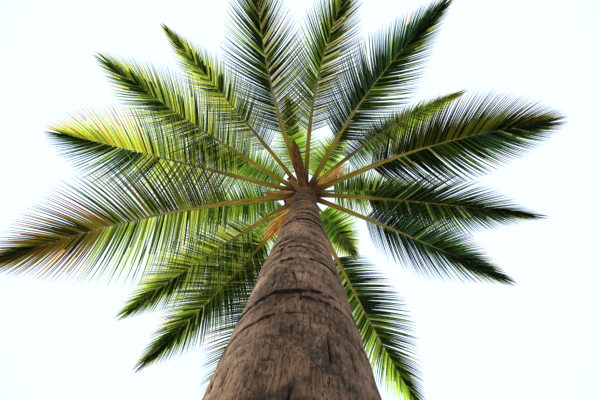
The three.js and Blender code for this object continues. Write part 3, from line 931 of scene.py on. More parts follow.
class Light(Enum):
    """How a stretch of a frond stands in the light, as the tones of its sprays."""

    SHADED = Mix(
        {Tone.DARK: 0.6, Tone.DEEP: 0.36, Tone.PAINTED_GLEAM: 0.04},
        {Tone.DARK: 0.35, Tone.DEEP: 0.45, Tone.MID: 0.16, Tone.PAINTED_GLEAM: 0.04},
    )
    MIXED = Mix(
        {Tone.DARK: 0.35, Tone.DEEP: 0.4, Tone.MID: 0.2, Tone.PAINTED_GLEAM: 0.05},
        {Tone.DARK: 0.1, Tone.DEEP: 0.35, Tone.MID: 0.35, Tone.BRIGHT: 0.12, Tone.PAINTED_GLEAM: 0.08},
    )
    OLIVE = Mix(
        {Tone.DARK: 0.35, Tone.DEEP: 0.25, Tone.OLIVE: 0.4},
        {Tone.DARK: 0.2, Tone.DEEP: 0.25, Tone.OLIVE: 0.4, Tone.BROWN: 0.15},
    )
    SUNLIT = Mix(
        {Tone.DARK: 0.15, Tone.DEEP: 0.25, Tone.MID: 0.3, Tone.BRIGHT: 0.2, Tone.PAINTED_GLEAM: 0.1},
        {Tone.DEEP: 0.24, Tone.MID: 0.3, Tone.BRIGHT: 0.3, Tone.GOLD: 0.03, Tone.PAINTED_GLEAM: 0.13},
    )
    TEAL = Mix(
        {Tone.DARK: 0.4, Tone.TEAL: 0.46, Tone.DEEP: 0.1, Tone.PAINTED_GLEAM: 0.04},
        {Tone.DARK: 0.2, Tone.TEAL: 0.54, Tone.DEEP: 0.2, Tone.PAINTED_GLEAM: 0.06},
    )
    GOLDEN = Mix(
        {Tone.MID: 0.3, Tone.BRIGHT: 0.5, Tone.GOLD: 0.2},
        {Tone.BRIGHT: 0.5, Tone.GOLD: 0.42, Tone.STRAW: 0.08},
    )
    BROWNED = Mix(
        {Tone.DARK: 0.3, Tone.OLIVE: 0.5, Tone.BROWN: 0.2},
        {Tone.OLIVE: 0.35, Tone.BROWN: 0.45, Tone.STRAW: 0.1, Tone.GOLD: 0.1},
    )
    # Stretches with painted glare among their leaflets.
    PAINTED_GLARE = Mix(
        {Tone.DARK: 0.45, Tone.DEEP: 0.2, Tone.OLIVE: 0.15, Tone.PAINTED_GLARE: 0.2},
        {Tone.DARK: 0.3, Tone.DEEP: 0.2, Tone.OLIVE: 0.15, Tone.PAINTED_GLARE: 0.35},
        strays=1.0,
    )
    YOUNG = Mix(
        {Tone.DEEP: 0.2, Tone.MID: 0.25, Tone.YOUNG: 0.55},
        {Tone.MID: 0.2, Tone.BRIGHT: 0.3, Tone.YOUNG: 0.5},
    )


@dataclass(frozen=True)
class Frond:
    """One frond's sizes and how it stands: what its solid is made from, in metres and degrees.

    It leaves the stem at an azimuth and a rise, so many steps up the stem's tip as its
    level says. On its way it turns by its sweep, falls by its bend and rolls on its own
    line. Its width is given at the stem and along the stalk, which is bare up to the
    first leaflets. They leave the rib at the spread and stand up by the vee. The last
    one has that share of the longest one's length, and a blunter frond keeps them long
    and spread out further. By the foot they lie over by the tilt, and the left ones are
    turned further all along. Its four lights are those of both sides, near and far.
    """

    name: str
    azimuth: float
    rise: float
    sweep: float
    level: float
    length: float
    leaflet: float
    left: Light = Light.MIXED
    right: Light = Light.MIXED
    far_left: Light = Light.MIXED
    far_right: Light = Light.MIXED
    spread: float = 64.0
    last: float = 0.42
    blunt: float = 1.0
    bend: float = 53.0
    vee: float = -12.0
    roll: float = 0.0
    foot: float = 0.098
    stalk: float = 0.066
    bare: float = 1.15
    tilt: float = 17.0
    turned: float = 0.0
    dry_tips: float = 0.2


@dataclass(frozen=True)
class YoungFrond(Frond):
    """A steeper frond of the crown's middle."""

    left: Light = Light.YOUNG
    right: Light = Light.YOUNG
    far_left: Light = Light.SUNLIT
    far_right: Light = Light.SUNLIT
    bend: float = 42.0
    vee: float = 14.0
    foot: float = 0.066
    stalk: float = 0.044
    bare: float = 0.8
    tilt: float = -2.0
    dry_tips: float = 0.0


FRONDS = (
    Frond(
        "frond_01", -25, 32, 20, 0, 4.0, 0.86,
        Light.SHADED, Light.OLIVE, Light.TEAL, Light.OLIVE,
        last=0.4, blunt=1.6, stalk=0.074, turned=-14,
    ),
    Frond(
        "frond_02", 2.5, 36, 6, 3, 4.0, 0.84,
        Light.SHADED, Light.SHADED, Light.TEAL, Light.SHADED, vee=-14, roll=55, tilt=-3,
    ),
    Frond(
        "frond_03", 20, 40, 6, 1, 3.9, 0.82,
        Light.TEAL, Light.TEAL, Light.TEAL, Light.TEAL, roll=-38, tilt=20,
    ),
    Frond(
        "frond_04", 63, 36, -4, 0, 4.45, 0.78,
        Light.MIXED, Light.SHADED, Light.YOUNG, Light.SHADED, spread=76, last=0.2, vee=-16, tilt=-14,
    ),
    Frond("frond_05", 110, 36, 4, 1, 4.3, 0.92, Light.SHADED, Light.SHADED, spread=78, tilt=0),
    Frond(
        "frond_06", 130, 37, 9, 4, 4.25, 0.84,
        Light.MIXED, Light.SHADED, Light.MIXED, Light.SHADED, vee=-14, tilt=-11,
    ),
    Frond(
        "frond_07", 149, 42, -5, 2, 4.05, 0.84,
        Light.SUNLIT, Light.SUNLIT, Light.SUNLIT, Light.MIXED, tilt=12,
    ),
    Frond(
        "frond_08", 175, 27, -17, 0.8, 4.65, 1.12,
        Light.OLIVE, Light.SUNLIT, Light.BROWNED, Light.BROWNED, spread=84, stalk=0.08, tilt=3,
    ),
    Frond(
        "frond_09", 195, 33, -2, 3, 4.25, 0.92,
        Light.SUNLIT, Light.SUNLIT, Light.GOLDEN, Light.TEAL,
        spread=78, last=0.35, blunt=1.8, dry_tips=0.1,
    ),
    Frond(
        "frond_10", 212, 39, 5, 1.5, 4.37, 0.88,
        Light.SUNLIT, Light.MIXED, Light.SUNLIT, Light.MIXED, blunt=1.3, dry_tips=0.08,
    ),
    Frond(
        "frond_11", 231.5, 42, -3, 4, 4.45, 0.74,
        Light.SUNLIT, Light.SUNLIT, Light.SUNLIT, Light.SUNLIT, last=0.28, vee=-14, dry_tips=0.08,
    ),
    Frond(
        "frond_12", 251, 37, 17, 2.2, 4.45, 0.94,
        Light.PAINTED_GLARE, Light.SHADED, Light.PAINTED_GLARE, Light.SHADED, roll=18, stalk=0.076, tilt=6, turned=14,
    ),
    Frond(
        "frond_13", 273, 36, 24, 5, 4.4, 0.86,
        Light.PAINTED_GLARE, Light.MIXED, Light.PAINTED_GLARE, Light.MIXED, vee=-14, roll=22, tilt=13, turned=8,
    ),
    Frond(
        "frond_14", 299, 39, 17, 1, 4.35, 0.88,
        Light.SHADED, Light.TEAL, Light.SHADED, Light.TEAL, tilt=4,
    ),
    Frond(
        "frond_15", 319, 43, 18, 6, 4.1, 0.7,
        Light.YOUNG, Light.MIXED, Light.YOUNG, Light.SUNLIT, bend=45, vee=42, roll=-20,
    ),
    YoungFrond(
        "young_frond_01", 356, 58, 6, 7, 3.8, 0.68,
        Light.MIXED, Light.MIXED, Light.SHADED, Light.SHADED,
    ),
    YoungFrond("young_frond_02", 47, 66, 6, 6, 2.5, 0.62, bend=36),
    YoungFrond("young_frond_03", 92, 60, 6, 8, 4.1, 0.72),
    YoungFrond("young_frond_04", 138, 64, -6, 7, 3.9, 0.7),
    YoungFrond("young_frond_05", 169, 57, 6, 6, 3.9, 0.72),
    YoungFrond("young_frond_06", 207, 62, -6, 8, 3.9, 0.72),
    YoungFrond("young_frond_07", 258, 67, 6, 7, 3.7, 0.68, bend=38),
    YoungFrond("young_frond_08", 306, 71, -6, 8, 3.6, 0.66, bend=34),
)


@dataclass
class Station:
    """Places on a rib's course with their directions, as arrays."""

    place: np.ndarray
    ahead: np.ndarray
    side: np.ndarray
    over: np.ndarray


class Course:
    """The line that a frond's rib follows from the stem's surface to its tip."""

    def __init__(self, frond: Frond) -> None:
        """Walks along the rib in short steps.

        Args:
            frond: the frond's sizes.
        """
        self.frond = frond
        level = TRUNK_HEIGHT + LOWEST_LEVEL + LEVEL_STEP * frond.level
        foot = heading(frond.azimuth, 0) * (stem_tip_radius(level) - FOOT_OVERLAP)
        middles = (np.arange(MARCH_STEPS) + 0.5) / MARCH_STEPS
        steps = np.cumsum(self.headings(middles), axis=0) * frond.length / MARCH_STEPS
        self.places = np.vstack([np.zeros(3), steps]) + stem_centre(level) + foot

    def headings(self, share: np.ndarray) -> np.ndarray:
        """The rib's directions at shares of its length."""
        return heading(
            self.frond.azimuth + self.frond.sweep * share ** SWEEP_POWER,
            self.frond.rise - self.frond.bend * share ** BEND_POWER,
        )

    def at(self, distance: np.ndarray) -> Station:
        """The places and directions on the rib.

        Args:
            distance: distances from the foot.

        Returns:
            The places and directions there.
        """
        share = distance / self.frond.length
        steps = np.linspace(0, 1, MARCH_STEPS + 1)
        place = np.stack([np.interp(share, steps, self.places[:, k]) for k in range(3)], axis=-1)
        ahead = self.headings(share)
        flat, upright = across(ahead)
        roll = np.radians(self.frond.roll * share)[..., None]
        side = flat * np.cos(roll) + upright * np.sin(roll)
        return Station(place, ahead, side, np.cross(ahead, side))

    def width(self, distance: np.ndarray) -> np.ndarray:
        """The full width of the stalk and rib: wide at the foot, then slender to the tip.

        Args:
            distance: distances from the foot.

        Returns:
            The widths there.
        """
        frond = self.frond
        share = np.maximum(0, distance - frond.bare) / (frond.length - frond.bare)
        foot = (frond.foot - frond.stalk) * np.exp(-distance / STALK_FOOT_FADE)
        return RIB_TIP_WIDTH + (frond.stalk - RIB_TIP_WIDTH) * (1 - share) ** RIB_TAPER_POWER + foot


@dataclass
class Rib:
    """The stalk and rib of a frond: rounded below and grooved on top."""

    course: Course
    rows: int = 84
    columns: int = 14
    crowding: float = 1.5
    roundness: float = 0.75
    groove: float = 0.24
    groove_power: int = 4

    def build(self) -> bpy.types.Object:
        """Makes the piece.

        Returns:
            The piece's object.
        """
        frond = self.course.frond
        distance = frond.length * np.linspace(0, 1, self.rows) ** self.crowding
        at = self.course.at(distance)
        half = self.course.width(distance)[:, None] / 2
        turn = 2 * math.pi * np.arange(self.columns) / self.columns
        sideways = squared_off(np.cos(turn), self.roundness) * half
        groove = self.groove * np.maximum(0, np.sin(turn)) ** self.groove_power
        upward = (squared_off(np.sin(turn), self.roundness) - groove) * STALK_DEPTH_SHARE * half
        points = (
            at.place[:, None]
            + at.side[:, None] * sideways[..., None]
            + at.over[:, None] * upward[..., None]
        )
        along = np.broadcast_to(distance[:, None], sideways.shape)
        grain = np.stack([sideways, upward, along], axis=-1)
        finish = YOUNG_STALK if isinstance(frond, YoungFrond) else StalkFinish()
        return closed_piece(f"{frond.name}_rib", points, grain, [finish])


@dataclass
class Blades:
    """Leaflets of one side of a rib, as arrays: what they are made from, in metres."""

    lines: np.ndarray
    tangent: np.ndarray
    broad: np.ndarray
    length: np.ndarray
    fullness: np.ndarray
    lift: np.ndarray
    slots: np.ndarray


@dataclass
class Leaflets:
    """Both combs of leaflets of a frond. Each leaflet is folded along its nerve.

    Metres and degrees. A pair of numbers is the range that a value is drawn from, and
    a scatter is how widely it strays.
    """

    course: Course
    limbs: KDTree
    seed: int
    steps: int = 9
    spray_least: int = 4
    spray_most: int = 12
    lean: float = 0.5
    lean_range: tuple[float, float] = (0.2, 1.5)
    place_scatter: float = 0.12
    angle_scatter: float = 0.5
    vee_scatter: float = 1.6
    length_range: tuple[float, float] = (0.94, 1.03)
    droop_range: tuple[float, float] = (0.8, 1.25)
    lift_scatter: float = 6.0
    twist_scatter: float = 10.0
    grain_shift: float = 10.0
    seat_share: float = 0.4
    hang_from: float = 0.1
    hang_gain: float = 1.9
    hang_power: float = 1.3
    least_width_share: float = 0.5
    widest_at: float = 0.1
    root_width_share: float = 0.8
    tip_width_share: float = 0.06
    taper_power: float = 1.15
    flat_from: float = 0.75
    fold_at_root: float = 26.0
    fold_at_tip: float = 12.0
    nerve_width: float = 0.0028
    nerve_taper: float = 0.7
    nerve_drop_share: float = 0.35
    clearance: float = 0.035
    untested_share: float = 0.2
    far_part: float = 0.58
    far_scatter: float = 0.06
    outer_half: float = 0.45
    outer_scatter: float = 0.1
    dry_least: int = 1
    dry_most: int = 3
    lone_dry_share: float = 0.5
    draws: np.random.Generator = field(init=False)

    def __post_init__(self) -> None:
        """Seeds the draws."""
        self.draws = np.random.default_rng(self.seed)

    def centre_lines(
        self, origin: np.ndarray, ahead: np.ndarray, length: np.ndarray, droop: np.ndarray
    ) -> tuple[np.ndarray, np.ndarray]:
        """The lines of leaflets that hang down more and more beyond their shoulders.

        Args:
            origin: where each leaflet leaves the rib.
            ahead: the direction that it leaves in.
            length: its length.
            droop: how far it hangs.

        Returns:
            Places and directions, by leaflet and step.
        """
        share = np.linspace(0, 1, self.steps + 1)
        beyond = np.maximum(0, (share - self.hang_from) / (1 - self.hang_from))
        hang = self.hang_gain * beyond ** self.hang_power
        tangent = unit(ahead[:, None] - UP * (droop[:, None] * hang)[..., None])
        stride = (tangent[:, 1:] + tangent[:, :-1]) / 2 * (length / self.steps)[:, None, None]
        start = np.zeros_like(origin)[:, None]
        return origin[:, None] + np.concatenate([start, np.cumsum(stride, axis=1)], axis=1), tangent

    def is_clear(self, lines: np.ndarray) -> np.ndarray:
        """Tests leaflets against the other fronds' ribs and the stem.

        Args:
            lines: their places, by leaflet and step.

        Returns:
            Whether each one keeps clear.
        """
        first = int(self.untested_share * self.steps)
        tested = lines[:, first:]
        near = [self.limbs.find(Vector(p))[2] for p in tested.reshape(-1, 3)]
        return np.array(near).reshape(tested.shape[:2]).min(axis=1) > self.clearance

    def fitting_lengths(
        self, origin: np.ndarray, ahead: np.ndarray, full: np.ndarray, droop: np.ndarray
    ) -> np.ndarray:
        """The fullest length of each leaflet that stays clear, or zero where none does.

        Args:
            origin: where each leaflet leaves the rib.
            ahead: the direction that it leaves in.
            full: its wished length.
            droop: how far it hangs.

        Returns:
            The lengths.
        """
        length = np.zeros(len(full))
        for trial in LEAFLET_TRIALS:
            rest = np.flatnonzero(length == 0)
            if len(rest):
                picked = full[rest] * trial
                lines, _ = self.centre_lines(origin[rest], ahead[rest], picked, droop[rest])
                length[rest] = np.where(self.is_clear(lines), picked, 0)
        return length

    def sprays(self, count: int) -> tuple[np.ndarray, np.ndarray]:
        """Deals leaflets to sprays, which lean together and leave slits between them.

        Args:
            count: how many leaflets there are.

        Returns:
            Each leaflet's spray, and its place in that spray from -1 to 1.
        """
        ends = np.cumsum(self.draws.integers(self.spray_least, self.spray_most + 1, count))
        spray = np.searchsorted(ends, np.arange(count), side="right")
        starts = np.concatenate([[0], ends])[spray]
        return spray, 2 * (np.arange(count) - starts + 0.5) / (ends[spray] - starts) - 1

    def deal(self, mix: dict[Tone, float], spray: np.ndarray, strays: float) -> np.ndarray:
        """Deals tones by spray, with some leaflets that stray.

        Args:
            mix: the share of each tone.
            spray: each leaflet's spray.
            strays: the share of leaflets with a tone of their own.

        Returns:
            The number of each leaflet's tone.
        """
        tones, odds = [TONES.index(tone) for tone in mix], list(mix.values())
        by_spray = self.draws.choice(tones, len(spray), p=odds)[spray]
        own = self.draws.choice(tones, len(spray), p=odds)
        return np.where(self.draws.random(len(spray)) < strays, own, by_spray)

    def slots(self, near: Light, far: Light, share: np.ndarray, spray: np.ndarray) -> np.ndarray:
        """The finish of every step of every leaflet.

        Args:
            near: the light on the frond's inner part.
            far: the light on its far part.
            share: how far along the blade each leaflet is.
            spray: each leaflet's spray.

        Returns:
            The finishes' numbers, by leaflet and step.
        """
        draws, count = self.draws, len(spray)
        is_far = share + draws.normal(0, self.far_scatter, count) > self.far_part
        inner, outer = (
            np.where(
                is_far,
                self.deal(getattr(far.value, half), spray, far.value.strays),
                self.deal(getattr(near.value, half), spray, near.value.strays),
            )
            for half in ("near", "outer")
        )
        turn_at = draws.normal(self.outer_half, self.outer_scatter, count)[:, None] * self.steps
        step = np.arange(self.steps)[None]
        slots = np.where(step < turn_at, inner[:, None], outer[:, None])
        odds = self.course.frond.dry_tips
        is_dry = draws.random(count) < odds
        is_dry = is_dry[spray] | (draws.random(count) < odds * self.lone_dry_share)
        dry_from = self.steps - draws.integers(self.dry_least, self.dry_most + 1, count)
        tip = draws.choice([TONES.index(Tone.GOLD), TONES.index(Tone.STRAW)], count)
        return np.where(is_dry[:, None] & (step >= dry_from[:, None]), tip[:, None], slots)

    def blades(self, hand: int, near: Light, far: Light) -> Blades:
        """Places the leaflets of one side of the rib, without those that find no room.

        Args:
            hand: 1 for the left side of the rib and -1 for the right.
            near: the light on the frond's inner part.
            far: the light on its far part.

        Returns:
            The leaflets.
        """
        frond, draws, count = self.course.frond, self.draws, LEAFLETS_A_SIDE
        spray, place = self.sprays(count)
        scatter = draws.uniform(-self.place_scatter, self.place_scatter, count)
        share = (np.arange(count) + 0.5 + scatter) / count
        distance = frond.bare + (frond.length - frond.bare) * share
        at = self.course.at(distance)
        rising = np.sin(math.pi / 2 * np.minimum(1, share / LEAFLET_LONGEST_AT))
        fading = np.maximum(0, (share - LEAFLET_LONGEST_AT) / (1 - LEAFLET_LONGEST_AT))
        fullness = between(LEAFLET_FIRST_SHARE, 1, rising)
        fullness -= (1 - frond.last) * fading ** (LEAFLET_FADE_POWER * frond.blunt)
        closing = share ** (LEAFLET_ANGLE_POWER * frond.blunt)
        angle = between(frond.spread, LEAFLET_ANGLE_END, closing)
        lean = self.lean * draws.uniform(*self.lean_range, count)[spray]
        angle = np.radians(angle + lean * place + draws.normal(0, self.angle_scatter, count))[:, None]
        vee = np.radians(frond.vee + draws.normal(0, self.vee_scatter, count))[:, None]
        outward = at.side * hand * np.cos(vee) + at.over * np.sin(vee)
        ahead = at.ahead * np.cos(angle) + outward * np.sin(angle)
        broad = unit(at.ahead - ahead * np.sum(at.ahead * ahead, axis=1, keepdims=True))
        origin = at.place + at.side * hand * (self.course.width(distance) * self.seat_share)[:, None]
        full = frond.leaflet * fullness * draws.uniform(*self.length_range, count)
        droop = LEAFLET_DROOP * draws.uniform(*self.droop_range, count)
        slots = self.slots(near, far, share, spray)
        length = self.fitting_lengths(origin, ahead, full, droop)
        kept = np.flatnonzero(length > 0)
        lines, tangent = self.centre_lines(origin[kept], ahead[kept], length[kept], droop[kept])
        lift = frond.tilt * np.maximum(0, 1 - share[kept] / self.flat_from)
        lift = lift + draws.normal(0, self.lift_scatter, len(kept)) + frond.turned * (hand > 0)
        return Blades(lines, tangent, broad[kept], length[kept], fullness[kept], lift, slots[kept])

    def half_widths(self, fullness: np.ndarray) -> np.ndarray:
        """Half the width of leaflets, which are soon widest and then taper to their tips.

        Args:
            fullness: each leaflet's share of the longest one's length.

        Returns:
            Half the width, by leaflet and step.
        """
        step = np.linspace(0, 1, self.steps + 1)
        opening = np.sin(math.pi / 2 * np.minimum(1, step / self.widest_at))
        taper = np.maximum(0, (step - self.widest_at) / (1 - self.widest_at))
        profile = between(self.root_width_share, 1, opening)
        profile = profile - (1 - self.tip_width_share) * taper ** self.taper_power
        return LEAFLET_WIDTH / 2 * between(self.least_width_share, 1, fullness)[:, None] * profile

    def side(self, skin: Skin, hand: int, near: Light, far: Light) -> None:
        """Adds the leaflets of one side of the rib, each with its nerve.

        Args:
            skin: what they are added to.
            hand: 1 for the left side of the rib and -1 for the right.
            near: the light on the frond's inner part.
            far: the light on its far part.
        """
        leaves = self.blades(hand, near, far)
        count, step = len(leaves.length), np.linspace(0, 1, self.steps + 1)
        twist = self.draws.normal(0, self.twist_scatter, count)[:, None] * step
        turn = np.radians(leaves.lift[:, None] + twist)[..., None]
        broad, tangent, lines = leaves.broad[:, None], leaves.tangent, leaves.lines
        flat = unit(broad - tangent * np.sum(broad * tangent, axis=-1, keepdims=True))
        over = np.cross(flat, tangent) * hand
        wide = flat * np.cos(turn) + over * np.sin(turn)
        tall = over * np.cos(turn) - flat * np.sin(turn)
        half = self.half_widths(leaves.fullness)
        fold = np.radians(between(self.fold_at_root, self.fold_at_tip, step))[None, :, None]
        edge = wide * np.cos(fold) * half[..., None]
        drop = tall * np.sin(fold) * half[..., None]
        points = np.stack([lines - edge - drop, lines, lines + edge - drop], axis=2)
        along = step * leaves.length[:, None]
        shift = np.broadcast_to(self.draws.uniform(0, self.grain_shift, count)[:, None], along.shape)
        offsets = (-half, 0 * half, half)
        grain = np.stack([np.stack([off, shift, along], axis=-1) for off in offsets], axis=2)
        skin.add_grids(points, grain, leaves.slots)

        thin = wide * (self.nerve_width / 2 * (1 - self.nerve_taper * step))[None, :, None]
        below = lines - tall * (self.nerve_width * self.nerve_drop_share)
        nerve = np.stack([below - thin, below + thin], axis=2)
        skin.add_grids(nerve, grain[:, :, :2], TONES.index(Tone.NERVE))

    def build(self) -> bpy.types.Object:
        """Makes the piece, which stands for the frond's solid.

        Returns:
            The piece's object.
        """
        frond = self.course.frond
        skin = Skin()
        self.side(skin, 1, frond.left, frond.far_left)
        self.side(skin, -1, frond.right, frond.far_right)
        return skin.build(f"{frond.name}_leaflets", [tone.value for tone in TONES], LEAFLET_CREASE)


@dataclass
class Crown:
    """All fronds, each with its rib and its leaflets."""

    fronds: tuple[Frond, ...] = FRONDS
    limb_step: float = 0.03
    seed: int = 411

    def limbs_but(self, own: Course, courses: list[Course]) -> KDTree:
        """The middles of the stem and of every rib but one's own, to test leaflets against.

        Args:
            own: the rib that the leaflets grow on.
            courses: the lines of all ribs.

        Returns:
            A tree that finds the nearest of those places.
        """
        lines = [
            course.at(np.arange(0, course.frond.length, self.limb_step)).place
            for course in courses if course is not own
        ]
        lines.append(stem_centre(np.arange(0, TRUNK_HEIGHT + STEM_TIP_LENGTH, self.limb_step)))
        points = np.concatenate(lines)
        tree = KDTree(len(points))
        for number, point in enumerate(points):
            tree.insert(Vector(point), number)
        tree.balance()
        return tree

    def build(self) -> None:
        """Makes the ribs and leaflets of every frond."""
        courses = [Course(frond) for frond in self.fronds]
        for number, course in enumerate(courses):
            frond = course.frond
            slot = "young_leaf" if isinstance(frond, YoungFrond) else "leaf"
            hand_over(Rib(course).build(), slot, frond.name)
            limbs = self.limbs_but(course, courses)
            hand_over(Leaflets(course, limbs, self.seed + number).build(), slot, frond.name)


@dataclass(frozen=True)
class Breakup:
    """How a dark mark on the bark is broken up: its mean strength and the noises' shares."""

    mean: float
    jagged: float
    patchy: float
    broken: float = 0.0
    most: float = 1.3

    def strength(
        self, jagged: np.ndarray, patchy: np.ndarray, broken: np.ndarray | float = 0.0
    ) -> np.ndarray:
        """The mark's strength at each point.

        Args:
            jagged: fine noise.
            patchy: broad noise.
            broken: noise along one ring.

        Returns:
            Strengths from zero up to the most.
        """
        mixed = self.mean + self.broken * broken + self.jagged * jagged + self.patchy * patchy
        return np.clip(mixed, 0, self.most)


@dataclass(frozen=True)
class Crack:
    """An upright crack or a pit in the bark, with half its width, in metres.

    The turn is where its low end is, as a share of a turn, and the drift is how far it
    moves round the trunk by its high end.
    """

    turn: float
    low: float
    high: float
    drift: float
    width: float
    depth: float

    def cut(self, out: np.ndarray, around: np.ndarray, z: np.ndarray) -> None:
        """Cuts the crack into the bark.

        Args:
            out: how far each point stands out, by row and column.
            around: the share of a turn of each column.
            z: the height of each row.
        """
        rows = slice(np.searchsorted(z, self.low), np.searchsorted(z, self.high))
        share = ((z[rows] - self.low) / (self.high - self.low))[:, None]
        away = (around[None, :] - self.turn - self.drift * share + 0.5) % 1 - 0.5
        metres = away * 2 * math.pi * trunk_radius(z[rows])[:, None]
        shape = np.sqrt(np.sin(math.pi * np.clip(share, 0, 1)))
        out[rows] -= self.depth * shape * np.exp(-(metres / self.width) ** 2)


@dataclass
class Trunk:
    """The leaning trunk with the relief of its bark, in three lengths that meet at scars.

    Metres. A pair of numbers is the range that a value is drawn from.
    """

    joints: tuple[float, ...] = (0.0, 1.17, 2.24, TRUNK_HEIGHT)
    rows: int = 290
    columns: int = 312
    # How far each layer of lumps stands out, its lumps in a turn, and their height.
    lumps: tuple[tuple[float, int, float], ...] = (
        (0.0035, 7, 0.16), (0.0018, 26, 0.045), (0.0012, 5, 0.011),
    )
    # The lumps in a turn and their height, of the noises that break up the dark marks.
    jagged: tuple[int, float] = (110, 0.012)
    patchy: tuple[int, float] = (13, 0.03)
    # The height of each ring scar and how strongly it is marked.
    scars: tuple[tuple[float, float], ...] = (
        (0.16, 0.5), (0.29, 0.3), (0.41, 0.5), (0.56, 0.4), (0.68, 0.6), (0.83, 0.4), (0.98, 0.35),
        (1.075, 0.4), (1.17, 1.0), (1.26, 0.6), (1.3, 1.7), (1.43, 0.5), (1.555, 1.3), (1.63, 0.5),
        (1.685, 1.1), (1.755, 0.7), (1.83, 0.9), (1.955, 0.9), (2.06, 1.0), (2.14, 0.8), (2.24, 1.9),
        (2.35, 0.6), (2.44, 1.4), (2.59, 0.9), (2.71, 0.8), (2.84, 1.0), (2.95, 0.7), (3.06, 1.1),
    )
    scar_step_above: float = 0.11
    scar_strength_above: float = 1.5
    scar_depth: float = 0.004
    scar_width: float = 0.005
    # A scar wanders up and down by a base and by its strength, then more finely.
    wander: float = 0.006
    wander_by_strength: float = 0.006
    wander_lumps: int = 7
    fine_wander: float = 0.005
    fine_wander_lumps: int = 37
    jagged_wander: float = 0.006
    broken_lumps: int = 15
    groove_mean: float = 0.8
    groove_range: tuple[float, float] = (0.2, 1.7)
    # Above a scar the bark stands out like a lip, and below it like a shelf.
    lip: float = 0.0026
    lip_fade: float = 0.035
    shelf: float = 0.0018
    shelf_fade: float = 0.05
    band_at_foot: float = 0.007
    band_at_top: float = 0.02
    band_least: float = 0.6
    rough_from: float = 1.1
    rough_fade: float = 1.3
    fibre_from: float = 2.5
    fibre_fade: float = 1.1
    # The turn, height, radius and strength of each dark stain.
    stains: tuple[tuple[float, float, float, float], ...] = (
        (0.728, 0.98, 0.045, 0.85), (0.77, 0.93, 0.03, 0.5), (0.69, 1.29, 0.05, 0.7),
        (0.8, 1.27, 0.06, 0.6), (0.84, 1.05, 0.05, 0.4), (0.72, 1.76, 0.06, 0.5),
        (0.74, 1.13, 0.05, 0.4),
    )
    scar_dark: Breakup = Breakup(0.5, jagged=0.9, patchy=0.5, broken=0.8, most=1.4)
    fibre_dark: Breakup = Breakup(0.35, jagged=1.1, patchy=1.2)
    stain_dark: Breakup = Breakup(0.7, jagged=0.9, patchy=0.8)
    # How much of the scars', fibre's and stains' dark shows, and the depth of a crack or pit at which its
    # painted shade is black.
    dark_share: float = 0.9
    black_depth: float = 0.008
    # The long cracks that the photograph shows, and those that are drawn by chance.
    long_cracks: tuple[Crack, ...] = (
        Crack(0.753, 1.35, 1.45, -0.02, 0.003, 0.009),
        Crack(0.737, 0.83, 0.965, 0.018, 0.003, 0.01),
        Crack(0.687, 1.34, 1.405, 0.004, 0.0025, 0.007),
    )
    marks_from: float = 0.02
    cracks: int = 640
    cracks_below_top: float = 0.1
    crack_least_length: float = 0.012
    crack_length_shape: float = 2.2
    crack_length_scale: float = 0.02
    crack_drift: float = 0.0025
    crack_width: tuple[float, float] = (0.0016, 0.0028)
    crack_depth: tuple[float, float] = (0.003, 0.007)
    pits: int = 260
    pits_height_share: float = 0.4
    pit_length: tuple[float, float] = (0.008, 0.02)
    pit_width: tuple[float, float] = (0.002, 0.0035)
    pit_depth: tuple[float, float] = (0.003, 0.006)
    crease: float = 70.0
    seed: int = 57
    # What is added to the seed for a scar's broad, fine and breaking noise.
    scar_seeds: tuple[int, int, int] = (10, 510, 910)

    def all_scars(self) -> list[tuple[float, float]]:
        """The ring scars, with the close ones under the crown."""
        above = np.arange(self.scars[-1][0] + self.scar_step_above, TRUNK_HEIGHT, self.scar_step_above)
        return [*self.scars, *((z, self.scar_strength_above) for z in above)]

    def relief(self, around: np.ndarray, z: np.ndarray) -> tuple[np.ndarray, np.ndarray]:
        """The bark's relief.

        Args:
            around: the share of a turn of each column.
            z: the height of each row.

        Returns:
            How far each point stands out, and how dark it is, from 0 to 1.
        """
        turn, height = np.meshgrid(around, z)
        out, dark = np.zeros_like(turn), np.zeros_like(turn)
        for number, (stand, lumps, step) in enumerate(self.lumps):
            out += stand * closed_noise(turn, height, lumps, step, self.seed + number)
        jagged = closed_noise(turn, height, *self.jagged, self.seed + len(self.lumps))
        patchy = closed_noise(turn, height, *self.patchy, self.seed + len(self.lumps) + 1)
        rough = np.clip((height - self.rough_from) / self.rough_fade, 0, 1)
        band = between(self.band_at_foot, self.band_at_top, rough)
        for number, (scar, strength) in enumerate(self.all_scars()):
            broad, fine, broken = (
                closed_noise(turn, 0 * height, lumps, 1, self.seed + number + seed)
                for lumps, seed in zip(
                    (self.wander_lumps, self.fine_wander_lumps, self.broken_lumps), self.scar_seeds
                )
            )
            wander = (self.wander + self.wander_by_strength * strength) * broad
            wander += self.fine_wander * fine + self.jagged_wander * rough * jagged
            offset = height - scar - wander
            groove = np.exp(-(offset / self.scar_width) ** 2)
            groove *= np.clip(self.groove_mean + broken, *self.groove_range)
            lip = np.where(offset > 0, np.exp(-np.maximum(offset, 0) / self.lip_fade), 0)
            shelf = np.where(offset < 0, np.exp(np.minimum(offset, 0) / self.shelf_fade), 0)
            out += strength * (self.lip * lip + self.shelf * shelf - self.scar_depth * groove)
